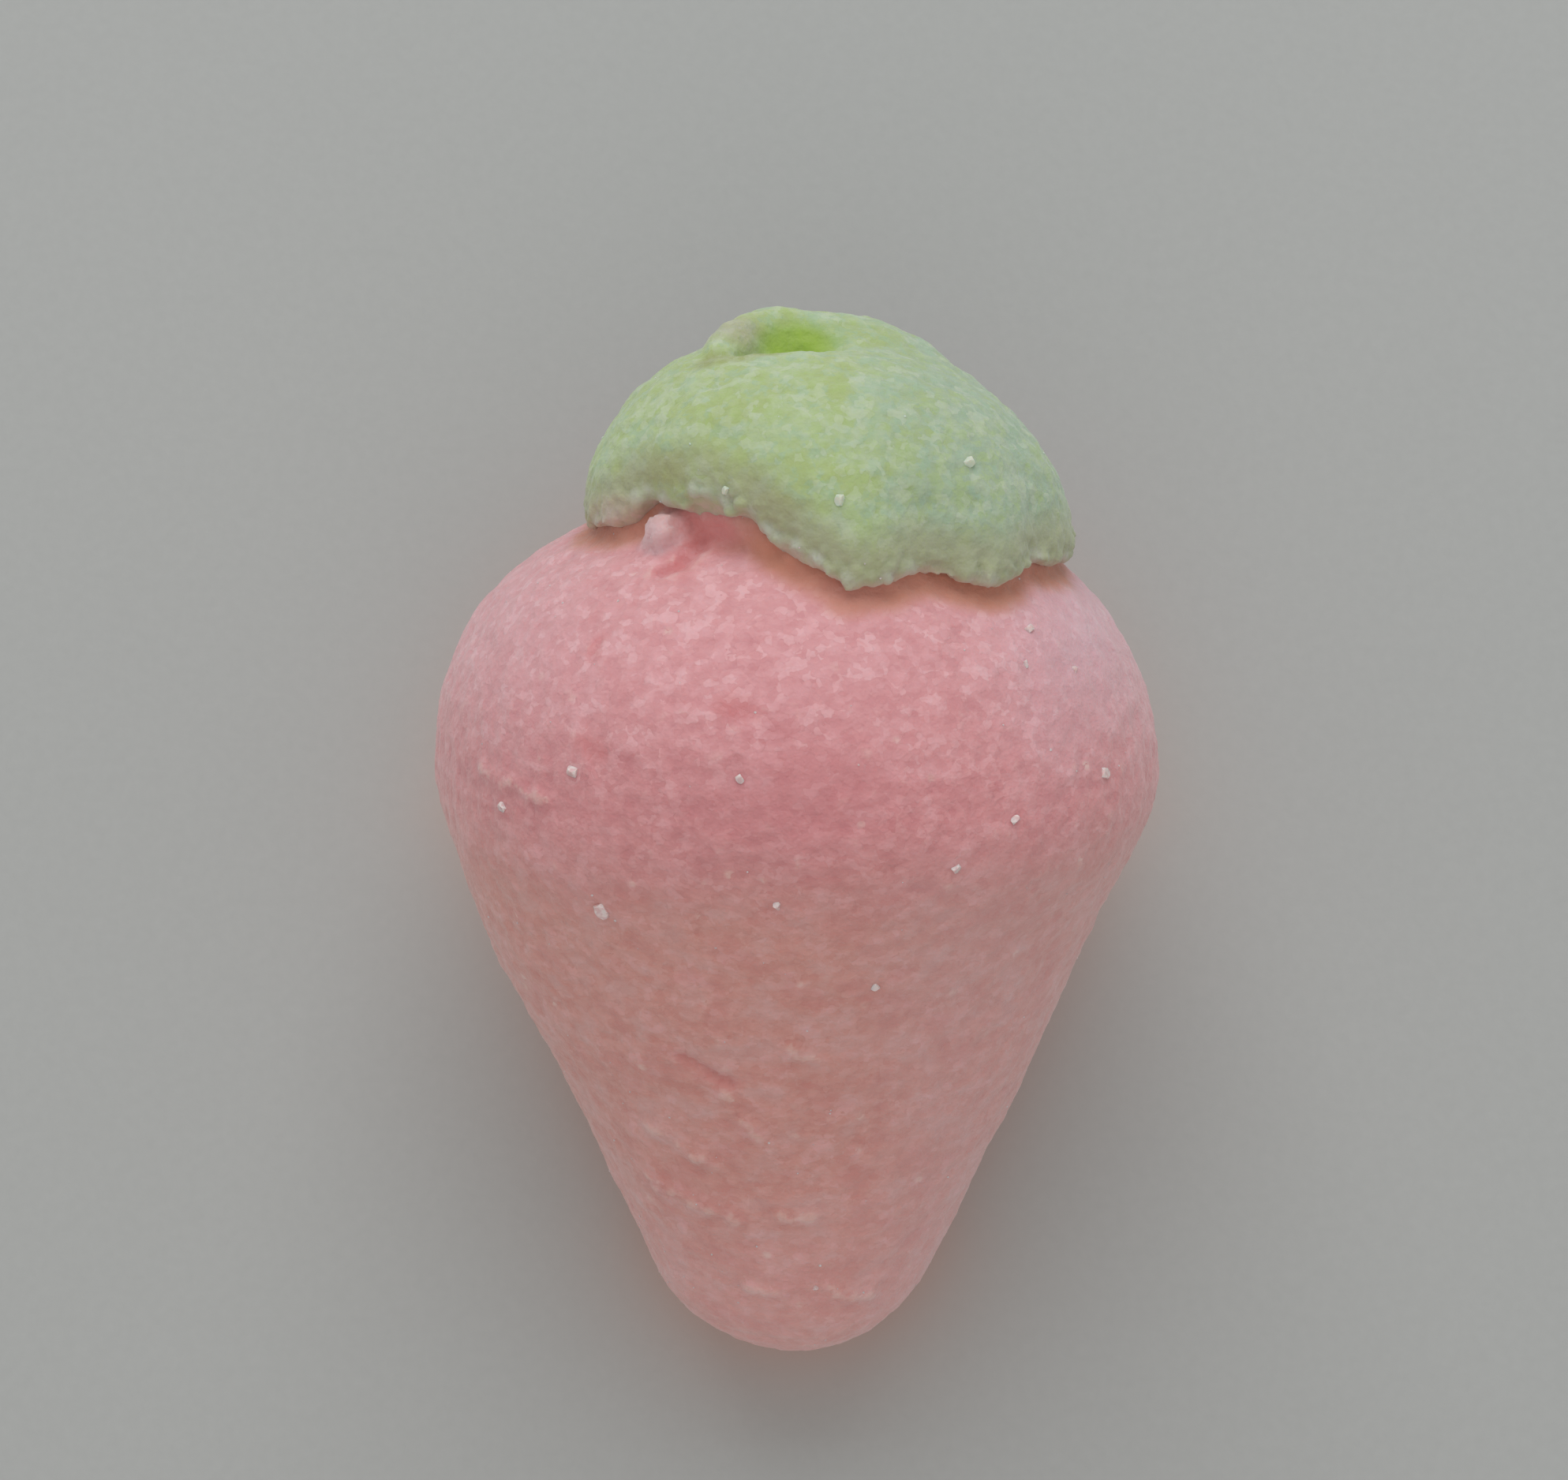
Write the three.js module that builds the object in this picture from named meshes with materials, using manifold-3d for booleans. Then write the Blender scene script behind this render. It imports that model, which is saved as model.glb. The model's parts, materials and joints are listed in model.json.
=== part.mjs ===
import * as THREE from "three";
import { mergeVertices } from "three/addons/utils/BufferGeometryUtils.js";
import Module from "manifold-3d";

// A strawberry-shaped marshmallow that lies on its flank.
// The pink body is a soft cone with a round tip and a round shoulder.
// The green cap is a dome with a lobed edge, and a folded nub on its top.
//
// Both are shaped in their own frame: Y runs along the axis from the tip to the cap, with y = 0 at the
// widest ring, Z points to the side that lies uppermost, and X points to the right.
// A group then tips them over until the lowest line of the flank lies on the table.

// Driving dimensions, in millimetres.
const WIDEST_RADIUS = 15.9;
const TIP_TO_WIDEST = 27.3;
const TIP_RADIUS = 7.05;
const BELLY_RADIUS = 7.0;
const SHOULDER_RADIUS = 11.1;
const TOP_TILT = THREE.MathUtils.degToRad(7); // of the almost flat top, where the shoulder's arc ends
const PRESS_DEPTH = 0.4; // how far the resting flank is pressed flat
const GAP = 0.3; // between the cap and the body

// How uneven the soft body is.
const SWAY = 0.33; // of its middle line, to either side
const SWAY_WAVE = 17;
const SWAY_MIDDLE = -3.4;
const SWAY_REACH = 9;
const SWELLS = [
  { height: 0.12, around: 3, along: 0.25, phase: 0.7 },
  { height: 0.1, around: 5, along: -0.31, phase: -1.3 },
];

// The swollen place of the shoulder under the cap's notch, and the small lump that sits in it.
const SWELLING = { x: -3.6, z: 4.4, height: 1.0, spread: 2.7 };
const LUMP = { x: -5.4, y: 11.0, z: 6.9, radius: 1.15 };

// The cap.
const CAP_RADIUS = 10.2;
const CAP_CENTRE = { x: 1.4, z: 1.0 }; // off the axis, to the right and to the uppermost side
const CAP_FOOT = 9.2; // height of the dome's foot above the widest ring, on the whole
const CAP_TOP = 18.3; // above the widest ring, over the cap's centre
const CAP_LEAN = -0.09; // rise of the top for each step to the right
const CAP_SQUARENESS = 2.35; // 2 is a true ellipse, more is fuller
const LIP = 0.5; // radius of the cap's rolled edge
const LIP_LIFT = 0.1; // of the lip's underside, over the gap
const SEAT_START = 1.25; // how far in from the edge the cap comes down onto its seat

// The lobes and bites of the cap's edge: where each one is and its half-width in degrees, how far it
// stands out or, below zero, in, how far it lifts the edge, and how square it is.
// 0 degrees is the uppermost side and 90 degrees is the right.
const EDGE_WAVES = [
  { at: -71, half: 12, out: 0.35, lift: 0, square: 4 },
  { at: -34, half: 26, out: -1.1, lift: 0.6, square: 4 },
  { at: -40, half: 19, out: 0, lift: 0.65, square: 4 },
  { at: 6, half: 9, out: 0.6, lift: 0, square: 2 },
  { at: 24, half: 7, out: -0.3, lift: 0, square: 2 },
  { at: 43, half: 9, out: 0.5, lift: 0, square: 2 },
  { at: 57, half: 4, out: -0.3, lift: 0, square: 2 },
  { at: 82, half: 24, out: 0.45, lift: 0, square: 4 },
  { at: 116, half: 8, out: -0.5, lift: 0.2, square: 2 },
  { at: 141, half: 12, out: 0.4, lift: 0, square: 2 },
  { at: 163, half: 6, out: -0.6, lift: 0.1, square: 2 },
  { at: 186, half: 11, out: 0.4, lift: 0, square: 2 },
  { at: 213, half: 7, out: -0.6, lift: 0.2, square: 2 },
  { at: 239, half: 10, out: 0.3, lift: 0, square: 2 },
  { at: 262, half: 5, out: -0.4, lift: 0, square: 2 },
];

// The nub on the cap, the hollow in its upper side and the crease that runs from the hollow to its left.
const NUB = { x: -0.8, z: -2.2, left: 2.3, right: 8.3, deep: 3.0, height: 1.3 };
const HOLLOW = { x: 0.0, z: 1.7, left: 2.0, right: 1.8, deep: 1.6, height: -1.6 };
const CREASE = { x: -2.3, z: 2.7, left: 1.5, right: 1.6, deep: 0.7, height: -0.8 };

const PINK = { color: 0xc98789, roughness: 0.9 };
const GREEN = { color: 0xa1b287, roughness: 0.9 };

// Mesh steps.
const BODY_AROUND = 64;
const TIP_STEPS = 7;
const FLANK_STEPS = 11;
const BELLY_STEPS = 4;
const SHOULDER_STEPS = 9;
const TOP_STEPS = 2;
const CAP_AROUND = 80;
const CAP_STEPS = 20;
const LIP_STEPS = 2;
const SEAT_STEPS = 5;
const BALL_DETAIL = 3;
const MERGE_REACH = 1e-4; // corners that are this close are the same
const HEIGHT_PASSES = 4; // rounds in which the uneven top's height settles

const wasm = await Module();
wasm.setup();

function arc(centre, radius, from, to, steps) {
  const points = [];
  for (let i = 0; i <= steps; i++) {
    const angle = from + ((to - from) * i) / steps;
    points.push(
      new THREE.Vector2(centre.x + radius * Math.cos(angle), centre.y + radius * Math.sin(angle)),
    );
  }
  return points;
}

// The angle between the flank and the axis: the flank touches the tip's arc and the belly's arc.
function flankAngle() {
  const along = TIP_TO_WIDEST - TIP_RADIUS;
  const across = WIDEST_RADIUS - BELLY_RADIUS;
  const between = Math.hypot(along, across);
  return Math.atan2(across, along) - Math.asin((TIP_RADIUS - BELLY_RADIUS) / between);
}

// Half of the body's section through its axis, from the tip to the top.
function bodyOutline() {
  const flank = flankAngle();
  const tipCentre = new THREE.Vector2(0, TIP_RADIUS - TIP_TO_WIDEST);
  const bellyCentre = new THREE.Vector2(WIDEST_RADIUS - BELLY_RADIUS, 0);
  const tip = arc(tipCentre, TIP_RADIUS, -Math.PI / 2, -flank, TIP_STEPS);
  const belly = arc(bellyCentre, BELLY_RADIUS, -flank, 0, BELLY_STEPS);
  const side = [];
  for (let i = 1; i < FLANK_STEPS; i++) {
    side.push(tip.at(-1).clone().lerp(belly[0], i / FLANK_STEPS));
  }
  const shoulderCentre = new THREE.Vector2(WIDEST_RADIUS - SHOULDER_RADIUS, 0);
  const shoulder = arc(shoulderCentre, SHOULDER_RADIUS, 0, Math.PI / 2 - TOP_TILT, SHOULDER_STEPS);
  const top = [];
  for (let i = 1; i <= TOP_STEPS; i++) {
    const radius = shoulder.at(-1).x * (1 - i / TOP_STEPS);
    top.push(new THREE.Vector2(radius, topHeight(radius)));
  }
  tip[0].x = 0;
  return [...tip, ...side, ...belly, ...shoulder.slice(1), ...top];
}

// Height of the body's top over a radius from the axis, on the body grown by a gap.
function topHeight(radius, gap = 0) {
  const shoulderCentre = WIDEST_RADIUS - SHOULDER_RADIUS;
  const turn = shoulderCentre + (SHOULDER_RADIUS + gap) * Math.sin(TOP_TILT);
  const reach = Math.max(radius, turn) - shoulderCentre;
  const height = Math.sqrt(Math.max((SHOULDER_RADIUS + gap) ** 2 - reach ** 2, 0));
  const flatPart = Math.max(turn - radius, 0) / turn;
  return height + turn * Math.tan(TOP_TILT) * 0.5 * (1 - (1 - flatPart) ** 2);
}

// A bell curve: 1 in the middle, and almost 0 from a distance of 2.
function bell(distance) {
  return Math.exp(-distance * distance);
}

// Shift of the body's middle line to the side at a height.
function sway(height) {
  return (
    SWAY *
    Math.cos((2 * Math.PI * height) / SWAY_WAVE) *
    bell((height - SWAY_MIDDLE) / SWAY_REACH)
  );
}

// Outward swell of the body at an angle round its axis, for a point at this height and radius.
function swell(angle, height, radius) {
  let sum = 0;
  for (const wave of SWELLS) {
    sum += wave.height * Math.sin(wave.around * angle + wave.along * height + wave.phase);
  }
  return (sum * radius) / WIDEST_RADIUS;
}

// Rise of the shoulder's swollen place over a point in plan.
function swelling(x, z) {
  const away = Math.hypot(x - SWELLING.x, z - SWELLING.z);
  return SWELLING.height * bell(away / SWELLING.spread);
}

// Height of the uneven body's top at a place in plan, on the body grown by a gap.
function shoulderHeight(x, z, gap) {
  let height = SHOULDER_RADIUS;
  for (let pass = 0; pass < HEIGHT_PASSES; pass++) {
    const inX = x - sway(height);
    const radius = Math.hypot(inX, z);
    const angle = Math.atan2(inX, z);
    height = topHeight(radius - swell(angle, height, radius), gap);
  }
  return height + swelling(x, z);
}

// Merges the shared corners of a geometry and drops its faces without area.
function closed(geometry) {
  geometry.deleteAttribute("normal");
  geometry.deleteAttribute("uv");
  const merged = mergeVertices(geometry, MERGE_REACH);
  const kept = [];
  const index = merged.index.array;
  for (let i = 0; i < index.length; i += 3) {
    const [a, b, c] = index.slice(i, i + 3);
    if (a !== b && b !== c && c !== a) kept.push(a, b, c);
  }
  merged.setIndex(kept);
  return merged;
}

// The solid that a closed geometry bounds, and back again.
function solidOf(geometry) {
  return new wasm.Manifold(
    new wasm.Mesh({
      numProp: 3,
      vertProperties: geometry.attributes.position.array,
      triVerts: new Uint32Array(geometry.index.array),
    }),
  );
}

function geometryOf(solid) {
  const mesh = solid.getMesh();
  const geometry = new THREE.BufferGeometry();
  geometry.setAttribute("position", new THREE.BufferAttribute(mesh.vertProperties, 3));
  geometry.setIndex(new THREE.BufferAttribute(mesh.triVerts, 1));
  return geometry.toNonIndexed();
}

// Moves every corner of a geometry by a function that changes the corner it is given.
function reshape(geometry, change) {
  const positions = geometry.attributes.position;
  const corner = new THREE.Vector3();
  for (let i = 0; i < positions.count; i++) {
    corner.fromBufferAttribute(positions, i);
    change(corner);
    positions.setXYZ(i, corner.x, corner.y, corner.z);
  }
}

// Moves a corner of the even body to its place on the real, uneven one.
function makeUneven(corner) {
  const radius = Math.hypot(corner.x, corner.z);
  if (radius > 0) {
    const grown = 1 + swell(Math.atan2(corner.x, corner.z), corner.y, radius) / radius;
    corner.x *= grown;
    corner.z *= grown;
  }
  corner.x += sway(corner.y);
  if (corner.y > SHOULDER_RADIUS / 2) corner.y += swelling(corner.x, corner.z);
}

// The table in the body's own frame: its upward normal, and how far from the widest ring's centre it is.
function table() {
  const flank = flankAngle();
  const up = new THREE.Vector3(0, Math.sin(flank), Math.cos(flank));
  const tipCentre = TIP_RADIUS - TIP_TO_WIDEST;
  return { up, level: tipCentre * up.y - TIP_RADIUS + PRESS_DEPTH };
}

// Lifts a corner that would sink into the table up to its surface.
function pressFlat(corner) {
  const { up, level } = table();
  const below = level - corner.dot(up);
  if (below > 0) corner.addScaledVector(up, below);
}

function ball(place, radius) {
  const geometry = new THREE.IcosahedronGeometry(radius, BALL_DETAIL);
  geometry.translate(place.x, place.y, place.z);
  return solidOf(closed(geometry));
}

function bodyGeometry() {
  const geometry = closed(new THREE.LatheGeometry(bodyOutline(), BODY_AROUND));
  reshape(geometry, makeUneven);
  reshape(geometry, pressFlat);
  return geometryOf(solidOf(geometry).add(ball(LUMP, LUMP.radius)));
}

// How strongly a wave of the edge acts at an angle round the cap, from 0 to 1.
function waveShare(wave, degrees) {
  const turn = THREE.MathUtils.euclideanModulo(degrees - wave.at + 180, 360) - 180;
  return Math.exp(-(Math.abs(turn / wave.half) ** wave.square));
}

// Radius of the cap's edge at an angle, and how far it is lifted off the body there.
function capEdge(angle) {
  const degrees = THREE.MathUtils.radToDeg(angle);
  const edge = { radius: CAP_RADIUS, lift: LIP_LIFT };
  for (const wave of EDGE_WAVES) {
    edge.radius += wave.out * waveShare(wave, degrees);
    edge.lift += wave.lift * waveShare(wave, degrees);
  }
  return edge;
}

// A soft rise or, with a negative height, a dent in the cap's top at a place in plan.
function relief(form, x, z) {
  const across = (x - form.x) / (x < form.x ? form.left : form.right);
  const deep = (z - form.z) / form.deep;
  return form.height * Math.exp(-((across * across + deep * deep) ** 2));
}

function topRelief(x, z) {
  return relief(NUB, x, z) + relief(HOLLOW, x, z) + relief(CREASE, x, z);
}

// A point of the cap at an angle and radius. The rings close round the hollow in the top, so that its
// corners are even there, and open to the cap's own centre at the edge.
function capPoint(angle, radius, edge, heightOver) {
  const share = radius / edge;
  const x = THREE.MathUtils.lerp(HOLLOW.x, CAP_CENTRE.x, share) + radius * Math.sin(angle);
  const z = THREE.MathUtils.lerp(HOLLOW.z, CAP_CENTRE.z, share) + radius * Math.cos(angle);
  return new THREE.Vector3(x, heightOver(x, z), z);
}

// Height of the cap's dome over a place in plan, where the dome's foot has this radius and height.
function domeHeight(x, z, foot, footHeight) {
  const away = Math.min(Math.hypot(x - CAP_CENTRE.x, z - CAP_CENTRE.z) / foot, 1);
  const rise = (1 - away ** CAP_SQUARENESS) ** (1 / CAP_SQUARENESS);
  const top = CAP_TOP + CAP_LEAN * (x - CAP_CENTRE.x);
  return footHeight + (top - footHeight) * rise;
}

// One line of points down the cap's outside from its top, round its lip and back under it to the middle.
function capRib(angle) {
  const { radius: edge, lift } = capEdge(angle);
  const seat = (x, z) => shoulderHeight(x, z, GAP);
  const lipBase = capPoint(angle, edge - LIP, edge, seat).y + lift;
  const rib = [];
  for (let i = 0; i <= CAP_STEPS; i++) {
    const step = i / CAP_STEPS;
    const turn = (step ** (CAP_SQUARENESS / 2) * Math.PI) / 2;
    const foot = THREE.MathUtils.lerp(CAP_RADIUS, edge, step ** 3);
    const footHeight = THREE.MathUtils.lerp(CAP_FOOT, lipBase + LIP, step ** 2);
    const over = (x, z) => domeHeight(x, z, foot, footHeight) + topRelief(x, z);
    rib.push(capPoint(angle, foot * Math.sin(turn) ** (2 / CAP_SQUARENESS), foot, over));
  }
  for (let i = 1; i <= LIP_STEPS; i++) {
    const turn = ((i / LIP_STEPS) * Math.PI) / 2;
    const out = edge - LIP * (1 - Math.cos(turn));
    rib.push(capPoint(angle, out, edge, () => lipBase + LIP * (1 - Math.sin(turn))));
  }
  for (let i = 0; i <= SEAT_STEPS; i++) {
    const inner = (edge - SEAT_START) * (1 - i / SEAT_STEPS);
    rib.push(capPoint(angle, inner, edge, seat));
  }
  return rib;
}

function capGeometry() {
  const ribs = [];
  for (let i = 0; i < CAP_AROUND; i++) ribs.push(capRib((2 * Math.PI * i) / CAP_AROUND));
  const rows = ribs[0].length;
  const index = [];
  for (let i = 0; i < CAP_AROUND; i++) {
    const next = (i + 1) % CAP_AROUND;
    for (let j = 0; j + 1 < rows; j++) {
      const a = i * rows + j;
      const b = next * rows + j;
      index.push(a, a + 1, b + 1, a, b + 1, b);
    }
  }
  const geometry = new THREE.BufferGeometry().setFromPoints(ribs.flat());
  geometry.setIndex(index);
  const cap = solidOf(closed(geometry));
  return geometryOf(cap.subtract(ball(LUMP, LUMP.radius + GAP)));
}

function piece(name, geometry, finish) {
  const material = new THREE.MeshStandardMaterial({ ...finish, metalness: 0 });
  const mesh = new THREE.Mesh(geometry, material);
  mesh.name = name;
  return mesh;
}

const group = new THREE.Group();
group.add(piece("pink_body", bodyGeometry(), PINK));
group.add(piece("green_cap", capGeometry(), GREEN));

// Tip it over onto its flank, and centre it over its origin on the table.
group.rotation.x = flankAngle();
group.updateMatrixWorld(true);
const box = new THREE.Box3().setFromObject(group, true);
const middle = box.getCenter(new THREE.Vector3());
group.position.set(-middle.x, -middle.y, -box.min.z);

export default group;
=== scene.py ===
"""Looks of a marshmallow in the shape of a strawberry: a pink body under a pale green cap, dusted with sugar.

Sizes are in metres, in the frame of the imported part: +Z is up, and +Y runs from the tip to the cap. Places on
the marshmallow and small sizes are written in millimetres, which MM and mm() turn into metres.
"""

import json
import logging
import math
from collections.abc import Callable, Iterator, Sequence
from contextlib import contextmanager
from dataclasses import dataclass, field
from enum import Enum
from typing import Union

import bpy
import numpy as np
from bpy.types import Material, NodeSocket, Object
from mathutils import Color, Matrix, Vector
from mathutils.bvhtree import BVHTree
from mathutils.kdtree import KDTree

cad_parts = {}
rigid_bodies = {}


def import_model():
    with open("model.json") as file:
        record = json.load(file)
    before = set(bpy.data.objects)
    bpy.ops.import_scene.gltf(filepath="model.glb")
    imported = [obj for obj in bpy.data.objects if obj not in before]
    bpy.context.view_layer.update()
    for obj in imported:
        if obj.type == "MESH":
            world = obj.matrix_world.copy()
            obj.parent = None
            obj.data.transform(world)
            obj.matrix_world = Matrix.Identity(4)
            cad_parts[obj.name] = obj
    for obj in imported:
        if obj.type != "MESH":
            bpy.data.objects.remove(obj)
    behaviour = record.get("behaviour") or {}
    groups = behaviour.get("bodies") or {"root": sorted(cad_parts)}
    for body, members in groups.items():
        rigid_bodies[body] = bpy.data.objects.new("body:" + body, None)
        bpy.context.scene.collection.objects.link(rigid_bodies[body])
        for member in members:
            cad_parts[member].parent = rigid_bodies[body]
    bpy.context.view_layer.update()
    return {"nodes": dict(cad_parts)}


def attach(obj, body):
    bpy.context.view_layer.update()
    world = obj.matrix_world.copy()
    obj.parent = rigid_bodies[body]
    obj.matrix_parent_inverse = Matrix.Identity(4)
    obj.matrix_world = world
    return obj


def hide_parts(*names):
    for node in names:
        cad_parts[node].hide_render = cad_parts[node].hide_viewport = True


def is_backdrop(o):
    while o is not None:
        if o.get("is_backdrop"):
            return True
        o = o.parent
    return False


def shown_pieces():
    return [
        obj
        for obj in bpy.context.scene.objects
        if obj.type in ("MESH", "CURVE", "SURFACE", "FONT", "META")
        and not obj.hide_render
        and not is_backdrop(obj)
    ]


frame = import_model()

MM = 0.001
LOG = logging.getLogger("marshmallow")

Colour = tuple[float, float, float, float]
Triple = tuple[float, float, float]
Pair = tuple[float, float]


class Slot(Enum):
    """The record's material slots."""

    PINK = "pink_marshmallow"
    GREEN = "green_marshmallow"
    SUGAR = "sugar_crystals"


class Pattern(Enum):
    """Kinds of random relief, by Blender's names."""

    CLOUDS = "CLOUDS"
    CELLS = "VORONOI"


class Mark(Enum):
    """Values that the modelling notes for each vertex, for the finishes to read."""

    RELIEF = "relief"
    CREVICE = "crevice"
    BLUSH = "blush"
    RIM = "rim"
    CRUMB = "crumb"
    SEAM = "seam"


def mm(*lengths: float) -> tuple[float, ...]:
    """Lengths in metres, from millimetres."""
    return tuple(length * MM for length in lengths)


def srgb(red: int, green: int, blue: int) -> Colour:
    """The linear colour that shaders use, from a display colour of 0 to 255."""
    return (*Color((red / 255, green / 255, blue / 255)).from_srgb_to_scene_linear(), 1.0)


def ease(values: np.ndarray, low: float, high: float) -> np.ndarray:
    """Rises smoothly from 0 at low to 1 at high, or falls if high is below low."""
    share = np.clip((values - low) / (high - low), 0, 1)
    return share * share * (3 - 2 * share)


# ---- how the marshmallow lies


@dataclass(frozen=True)
class Lie:
    """The marshmallow's own axis, which climbs from the tip on the table up to the cap.

    A place on it is given by across (to the right), height (along the axis, from the widest ring)
    and out (away from the axis, towards the side that lies uppermost).
    """

    middle: Vector = field(default_factory=lambda: Vector((-0.22, 3.38, 14.76)) * MM)
    climb: float = math.radians(23.6)
    clear_of_it: float = 40 * MM

    @property
    def axis(self) -> Vector:
        """The direction from the tip to the cap."""
        return Vector((0, math.cos(self.climb), math.sin(self.climb)))

    @property
    def outward(self) -> Vector:
        """The direction from the axis to the uppermost side."""
        return Vector((0, -math.sin(self.climb), math.cos(self.climb)))

    def point(self, across: float, height: float, out: float) -> Vector:
        """The part's point at a place on the marshmallow."""
        return self.middle + Vector((across, 0, 0)) + self.axis * height + self.outward * out

    def at(self, place: Sequence[float]) -> Vector:
        """The part's point at a place in millimetres."""
        return self.point(*mm(*place))

    def ring(self, turn: float, height: float, radius: float) -> Vector:
        """The part's point at a turn in degrees round the axis; 0 is uppermost and 90 is right."""
        angle = math.radians(turn)
        return self.point(radius * math.sin(angle), height, radius * math.cos(angle))

    def sight(self, turn: float, height: float) -> tuple[Vector, Vector]:
        """A line of sight from outside towards the axis: where it starts and where it goes."""
        far = self.ring(turn, height, self.clear_of_it)
        return far, (self.ring(turn, height, 0) - far).normalized()

    def measure(self, points: np.ndarray) -> np.ndarray:
        """Across, height and out of many points of the part, one row each."""
        away = points - np.array(self.middle)
        return np.stack([away[:, 0], away @ np.array(self.axis), away @ np.array(self.outward)], axis=1)


LIE = Lie()


# ---- modelling by hand


@contextmanager
def editing(target: Object) -> Iterator[None]:
    """Opens an object, alone, in edit mode.

    Args:
        target: The mesh object.

    Yields:
        Nothing; edit mode ends with the block.
    """
    select_only(target)
    bpy.ops.object.mode_set(mode="EDIT")
    bpy.ops.mesh.select_mode(type="VERT")
    try:
        yield
    finally:
        bpy.ops.object.mode_set(mode="OBJECT")


def select_only(target: Object) -> None:
    """Selects one object and makes it the active one.

    Args:
        target: The object.
    """
    bpy.ops.object.select_all(action="DESELECT")
    target.select_set(True)
    bpy.context.view_layer.objects.active = target


def added(operator: Callable, **settings: object) -> Object:
    """The object that one of Blender's operators adds.

    Args:
        operator: The operator.
        settings: Its settings.

    Returns:
        The new object.
    """
    bpy.ops.object.select_all(action="DESELECT")
    operator(**settings)
    return bpy.context.object


class Clay:
    """A mesh that is modelled with Blender's own operators."""

    def __init__(self, made: Object, name: str) -> None:
        """Takes over a new object.

        Args:
            made: The object.
            name: The piece's name.
        """
        made.name = name
        made.data.name = name
        self.object = made

    @classmethod
    def drop(cls, name: str, place: Vector) -> "Clay":
        """Starts from one vertex.

        Args:
            name: The piece's name.
            place: Where the vertex is.

        Returns:
            The new piece.
        """
        clay = cls(added(bpy.ops.mesh.primitive_plane_add, size=MM), name)
        with editing(clay.object):
            bpy.ops.mesh.select_all(action="SELECT")
            bpy.ops.mesh.merge(type="CENTER")
            bpy.ops.transform.translate(value=place)
        return clay

    @classmethod
    def ball(cls, name: str, place: Vector, radius: float, stretch: Sequence[float] = (1, 1, 1)) -> "Clay":
        """Starts from a round ball of even triangles.

        Args:
            name: The piece's name.
            place: The ball's centre.
            radius: Its radius.
            stretch: How much longer it is along each axis.

        Returns:
            The new piece.
        """
        ball = added(bpy.ops.mesh.primitive_ico_sphere_add, subdivisions=4, radius=radius, location=place)
        bpy.ops.object.transform_apply(location=True, rotation=True, scale=True)
        clay = cls(ball, name)
        with editing(clay.object):
            bpy.ops.mesh.select_all(action="SELECT")
            bpy.ops.transform.resize(value=stretch, center_override=place)
        return clay

    @classmethod
    def solid(cls, name: str, node: str) -> "Clay":
        """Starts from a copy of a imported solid, with its loose triangles merged.

        Args:
            name: The piece's name.
            node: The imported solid's name.

        Returns:
            The new piece.
        """
        copy = bpy.data.objects.new(name, frame["nodes"][node].data.copy())
        bpy.context.collection.objects.link(copy)
        copy.data.materials.clear()
        clay = cls(copy, name)
        with editing(copy):
            bpy.ops.mesh.select_all(action="SELECT")
            bpy.ops.mesh.remove_doubles(threshold=1e-7)
        return clay

    @property
    def points(self) -> np.ndarray:
        """All vertices' places.

        Returns:
            One row each.
        """
        flat = np.zeros(len(self.object.data.vertices) * 3)
        self.object.data.vertices.foreach_get("co", flat)
        return flat.reshape(-1, 3)

    @property
    def normals(self) -> np.ndarray:
        """All vertices' outward directions.

        Returns:
            One row each.
        """
        flat = np.zeros(len(self.object.data.vertices) * 3, np.float32)
        self.object.data.vertex_normals.foreach_get("vector", flat)
        return flat.reshape(-1, 3)

    def pick(self, chosen: np.ndarray) -> None:
        """Selects vertices, and no edge or face.

        Args:
            chosen: True for each vertex that is wanted.
        """
        mesh = self.object.data
        mesh.polygons.foreach_set("select", np.zeros(len(mesh.polygons), bool))
        mesh.edges.foreach_set("select", np.zeros(len(mesh.edges), bool))
        mesh.vertices.foreach_set("select", chosen)

    def extrude_to(self, stations: Sequence[Vector]) -> None:
        """Draws a line of edges from a dropped piece's one vertex.

        Args:
            stations: The places that it runs through.
        """
        last = self.object.data.vertices[0].co.copy()
        with editing(self.object):
            bpy.ops.mesh.select_all(action="SELECT")
            for station in stations:
                bpy.ops.mesh.extrude_region_move(TRANSFORM_OT_translate={"value": station - last})
                last = station

    def spin(self, steps: int, centre: Vector, axis: Vector) -> None:
        """Turns the drawn line round an axis into a closed skin.

        Args:
            steps: Number of faces round.
            centre: A point of the axis.
            axis: The axis's direction.
        """
        with editing(self.object):
            bpy.ops.mesh.select_all(action="SELECT")
            bpy.ops.mesh.spin(steps=steps, angle=math.tau, center=centre, axis=axis)
            bpy.ops.mesh.select_all(action="SELECT")
            bpy.ops.mesh.remove_doubles(threshold=1e-6)
            bpy.ops.mesh.normals_make_consistent(inside=False)

    def finish_with(self, kind: str, **settings: object) -> None:
        """Adds a modifier and applies it.

        Args:
            kind: Blender's name for its type.
            settings: Its settings.
        """
        select_only(self.object)
        modifier = self.object.modifiers.new(kind.lower(), kind)
        for name, value in settings.items():
            setattr(modifier, name, value)
        bpy.ops.object.modifier_apply(modifier=modifier.name)

    def remesh(self, voxel: float, rounds: int) -> None:
        """Melts the mesh into one even skin, and smooths it for some rounds."""
        self.finish_with("REMESH", mode="VOXEL", voxel_size=voxel)
        self.finish_with("SMOOTH", factor=0.5, iterations=rounds)

    def group(self, name: str, shares: np.ndarray, least: float = 0.01) -> str:
        """Makes a vertex group.

        Args:
            name: The group's name.
            shares: Each vertex's share in it.
            least: The share up to which a vertex stays out.

        Returns:
            The name, for what acts on the group.
        """
        made = self.object.vertex_groups.new(name=name)
        for i in np.flatnonzero(shares > least):
            made.add([int(i)], float(shares[i]), "REPLACE")
        return name

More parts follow.
